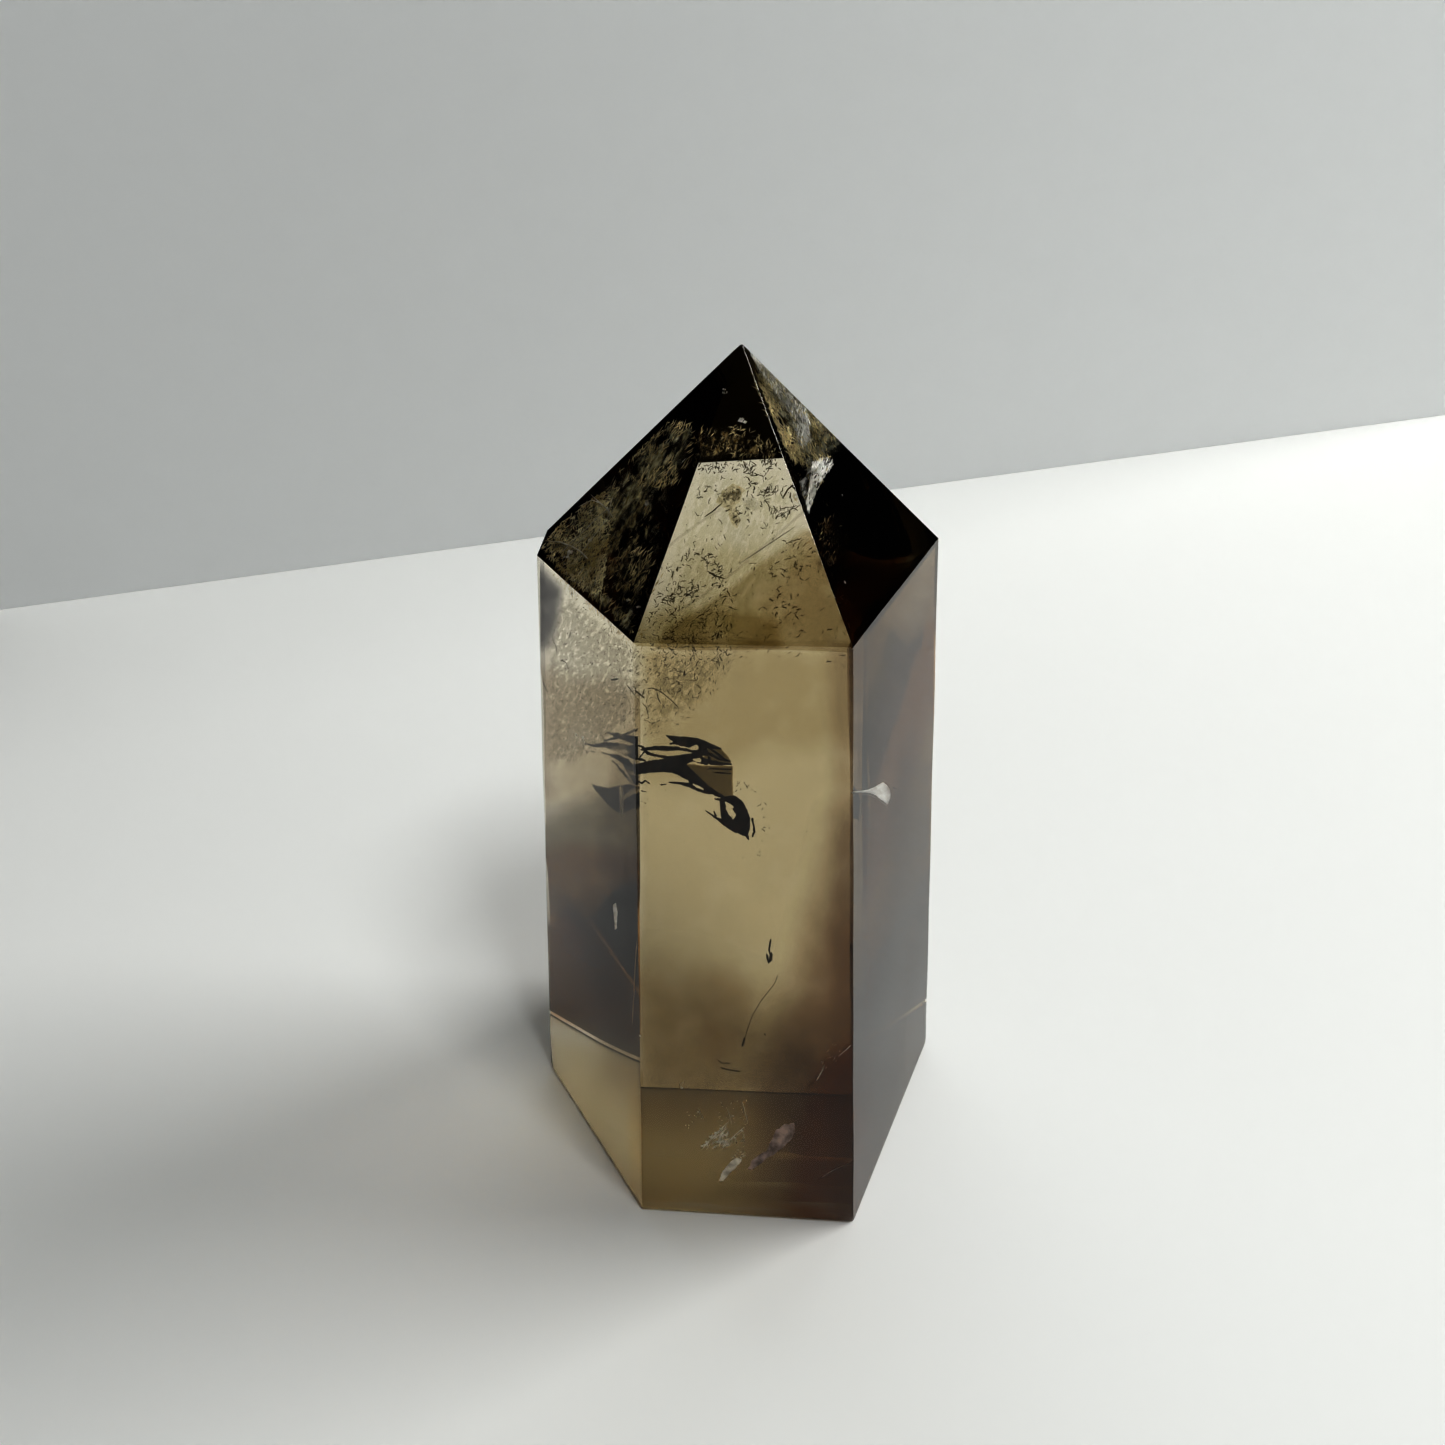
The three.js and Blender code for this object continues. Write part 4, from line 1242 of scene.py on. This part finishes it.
    rose = mat_glint("rose_crack", (0.16, 0.10, 0.075), (0.58, 0.42, 0.34), 9.0, 0.5)
    flake("rose_flake", "front", [(767, 1151), (771, 1141), (776, 1131), (783, 1125), (794, 1123), (795, 1131), (791, 1140), (783, 1147), (775, 1152)],
          lambda u, v: 0.32 + 0.004 * (u - 770), rose, 2.4, 2.0, seed=2.0)
    flake("rose_flake_tail", "front", [(747, 1169), (752, 1161), (760, 1154), (770, 1150), (779, 1151), (768, 1158), (760, 1164), (752, 1170)],
          lambda u, v: 0.36 + 0.004 * (u - 770), rose, 2.2, 2.0, seed=3.0)
    flake("pale_flake", "front", [(719, 1181), (722, 1172), (729, 1163), (737, 1157), (742, 1160), (737, 1167), (730, 1173), (723, 1181)],
          lambda u, v: 0.30 + 0 * u, mat_glint("pale_crack", (0.40, 0.34, 0.24), (0.93, 0.86, 0.72), 12.0, 0.4), 1.6, 1.5, 4.0)
    flake("left_sliver", "front_left", [(613, 905), (616, 903), (617.5, 912), (617, 928), (615, 930), (614, 918)],
          lambda u, v: 0.24 + 0 * u, mat_glint("sliver_crack", (0.5, 0.45, 0.36), (0.98, 0.94, 0.84), 12.0, 0.4), 0.6, 1.2, 5.0)
    flake("shoulder_flake", "tip_front_left", [(549, 541), (562, 541), (570, 545), (586, 557), (580, 560), (566, 552), (552, 548)],
          lambda u, v: 0.6 + 0 * u, mat_haze("shoulder_frost", (0.20, 0.15, 0.06), (0.8, 0.72, 0.5), 12.0, 0.38, 0.62, 0.8), 1.5, 3.0, 6.0)


# ------------------------------------------------------------------ stage and light
WALL_N = np.array([-0.33809482, 0.94111205, 0.0])
WALL_D = 148.25
BACKDROP = (110, 240)


def add_stage():
    floor_mat = mat_stage("pale_floor", (0.86, 0.86, 0.845))
    wall_mat = mat_stage("pale_backdrop", (0.88, 0.89, 0.89))
    s = 2.5
    z = -0.00005
    fl = mesh_object("floor", [(-s, -s, z), (s, -s, z), (s, s, z), (-s, s, z)], [(0, 1, 2, 3)], floor_mat)
    t = np.array([WALL_N[1], -WALL_N[0], 0.0])
    c = WALL_N * WALL_D
    a, b = c - t * BACKDROP[0], c + t * BACKDROP[1]
    pts = [a, b, b + np.array([0, 0, 260.0]), a + np.array([0, 0, 260.0])]
    wl = mesh_object("backdrop", [p * MM for p in pts], [(0, 1, 2, 3)], wall_mat)


def add_area(name, pos, target, size, power, colour=(1, 1, 1), size_y=None):
    d = bpy.data.lights.new(name, "AREA")
    d.shape = "RECTANGLE"
    d.size = size
    d.size_y = size_y or size
    d.energy = power
    d.color = colour
    o = bpy.data.objects.new(name, d)
    bpy.context.collection.objects.link(o)
    o.location = pos
    o.rotation_euler = (Vector(target) - Vector(pos)).to_track_quat("-Z", "Y").to_euler()
    return o


def add_light():
    # one big soft source behind and to the right, like a window
    add_area("key", (1.04, 0.34, 0.79), (0.0, 0.0, 0.02), 0.66, 13.8, (1.0, 1.0, 0.985))
    add_area("fill", (0.44, -0.52, 1.28), (0.0, 0.0, 0.02), 0.36, 8.6, (0.98, 1.0, 1.0))
    w = bpy.data.worlds.new("soft_room")
    w.use_nodes = True
    nt = w.node_tree
    nt.nodes.clear()
    out = nt.nodes.new("ShaderNodeOutputWorld")
    # the room: a pale ceiling overhead that fades to a dim surround at the horizon
    tc = nt.nodes.new("ShaderNodeTexCoord")
    tilt = nt.nodes.new("ShaderNodeVectorMath")
    tilt.operation = "DOT_PRODUCT"
    tilt.inputs[1].default_value = (0.0, 0.45, 0.893)
    link(nt, tc.outputs["Generated"], tilt.inputs[0])
    up = nt.nodes.new("ShaderNodeMapRange")
    up.interpolation_type = "SMOOTHSTEP"
    up.inputs["From Min"].default_value = 0.86
    up.inputs["From Max"].default_value = 0.965
    up.inputs["To Min"].default_value = 0.02
    up.inputs["To Max"].default_value = 0.95
    link(nt, tilt.outputs["Value"], up.inputs["Value"])
    room = nt.nodes.new("ShaderNodeBackground")
    room.inputs["Color"].default_value = (0.97, 1.0, 1.0, 1)
    link(nt, up.outputs[0], room.inputs["Strength"])
    seen = nt.nodes.new("ShaderNodeBackground")
    seen.inputs["Color"].default_value = (0.60, 0.61, 0.62, 1)
    lp = nt.nodes.new("ShaderNodeLightPath")
    mix = nt.nodes.new("ShaderNodeMixShader")
    link(nt, lp.outputs["Is Camera Ray"], mix.inputs[0])
    link(nt, room.outputs[0], mix.inputs[1])
    link(nt, seen.outputs[0], mix.inputs[2])
    link(nt, mix.outputs[0], out.inputs["Surface"])
    bpy.context.scene.world = w


# ------------------------------------------------------------------ build
add_camera()
quartz = mat_quartz()
foot = mat_quartz("smoky_quartz_ground_foot", 0.55, (1.0, 0.76, 0.30), 0.88)
crystal = crystal_mesh(quartz, foot)
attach(crystal, "root")
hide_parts("quartz_tower")
smoke_and_shade_layers()
dark_veil()
painted_veil_reflection_left()
veil_film()
pale_shell()
hair_cloud()
wisps()
haze_sheets()
foot_fractures()
add_stage()
add_light()

sc = bpy.context.scene
sc.view_settings.view_transform = "Standard"
sc.view_settings.gamma = 0.625
sc.cycles.max_bounces = 32
sc.cycles.transmission_bounces = 32
sc.cycles.glossy_bounces = 32
sc.cycles.diffuse_bounces = 4
sc.cycles.transparent_max_bounces = 160
sc.cycles.volume_bounces = 0
sc.cycles.use_denoising = True
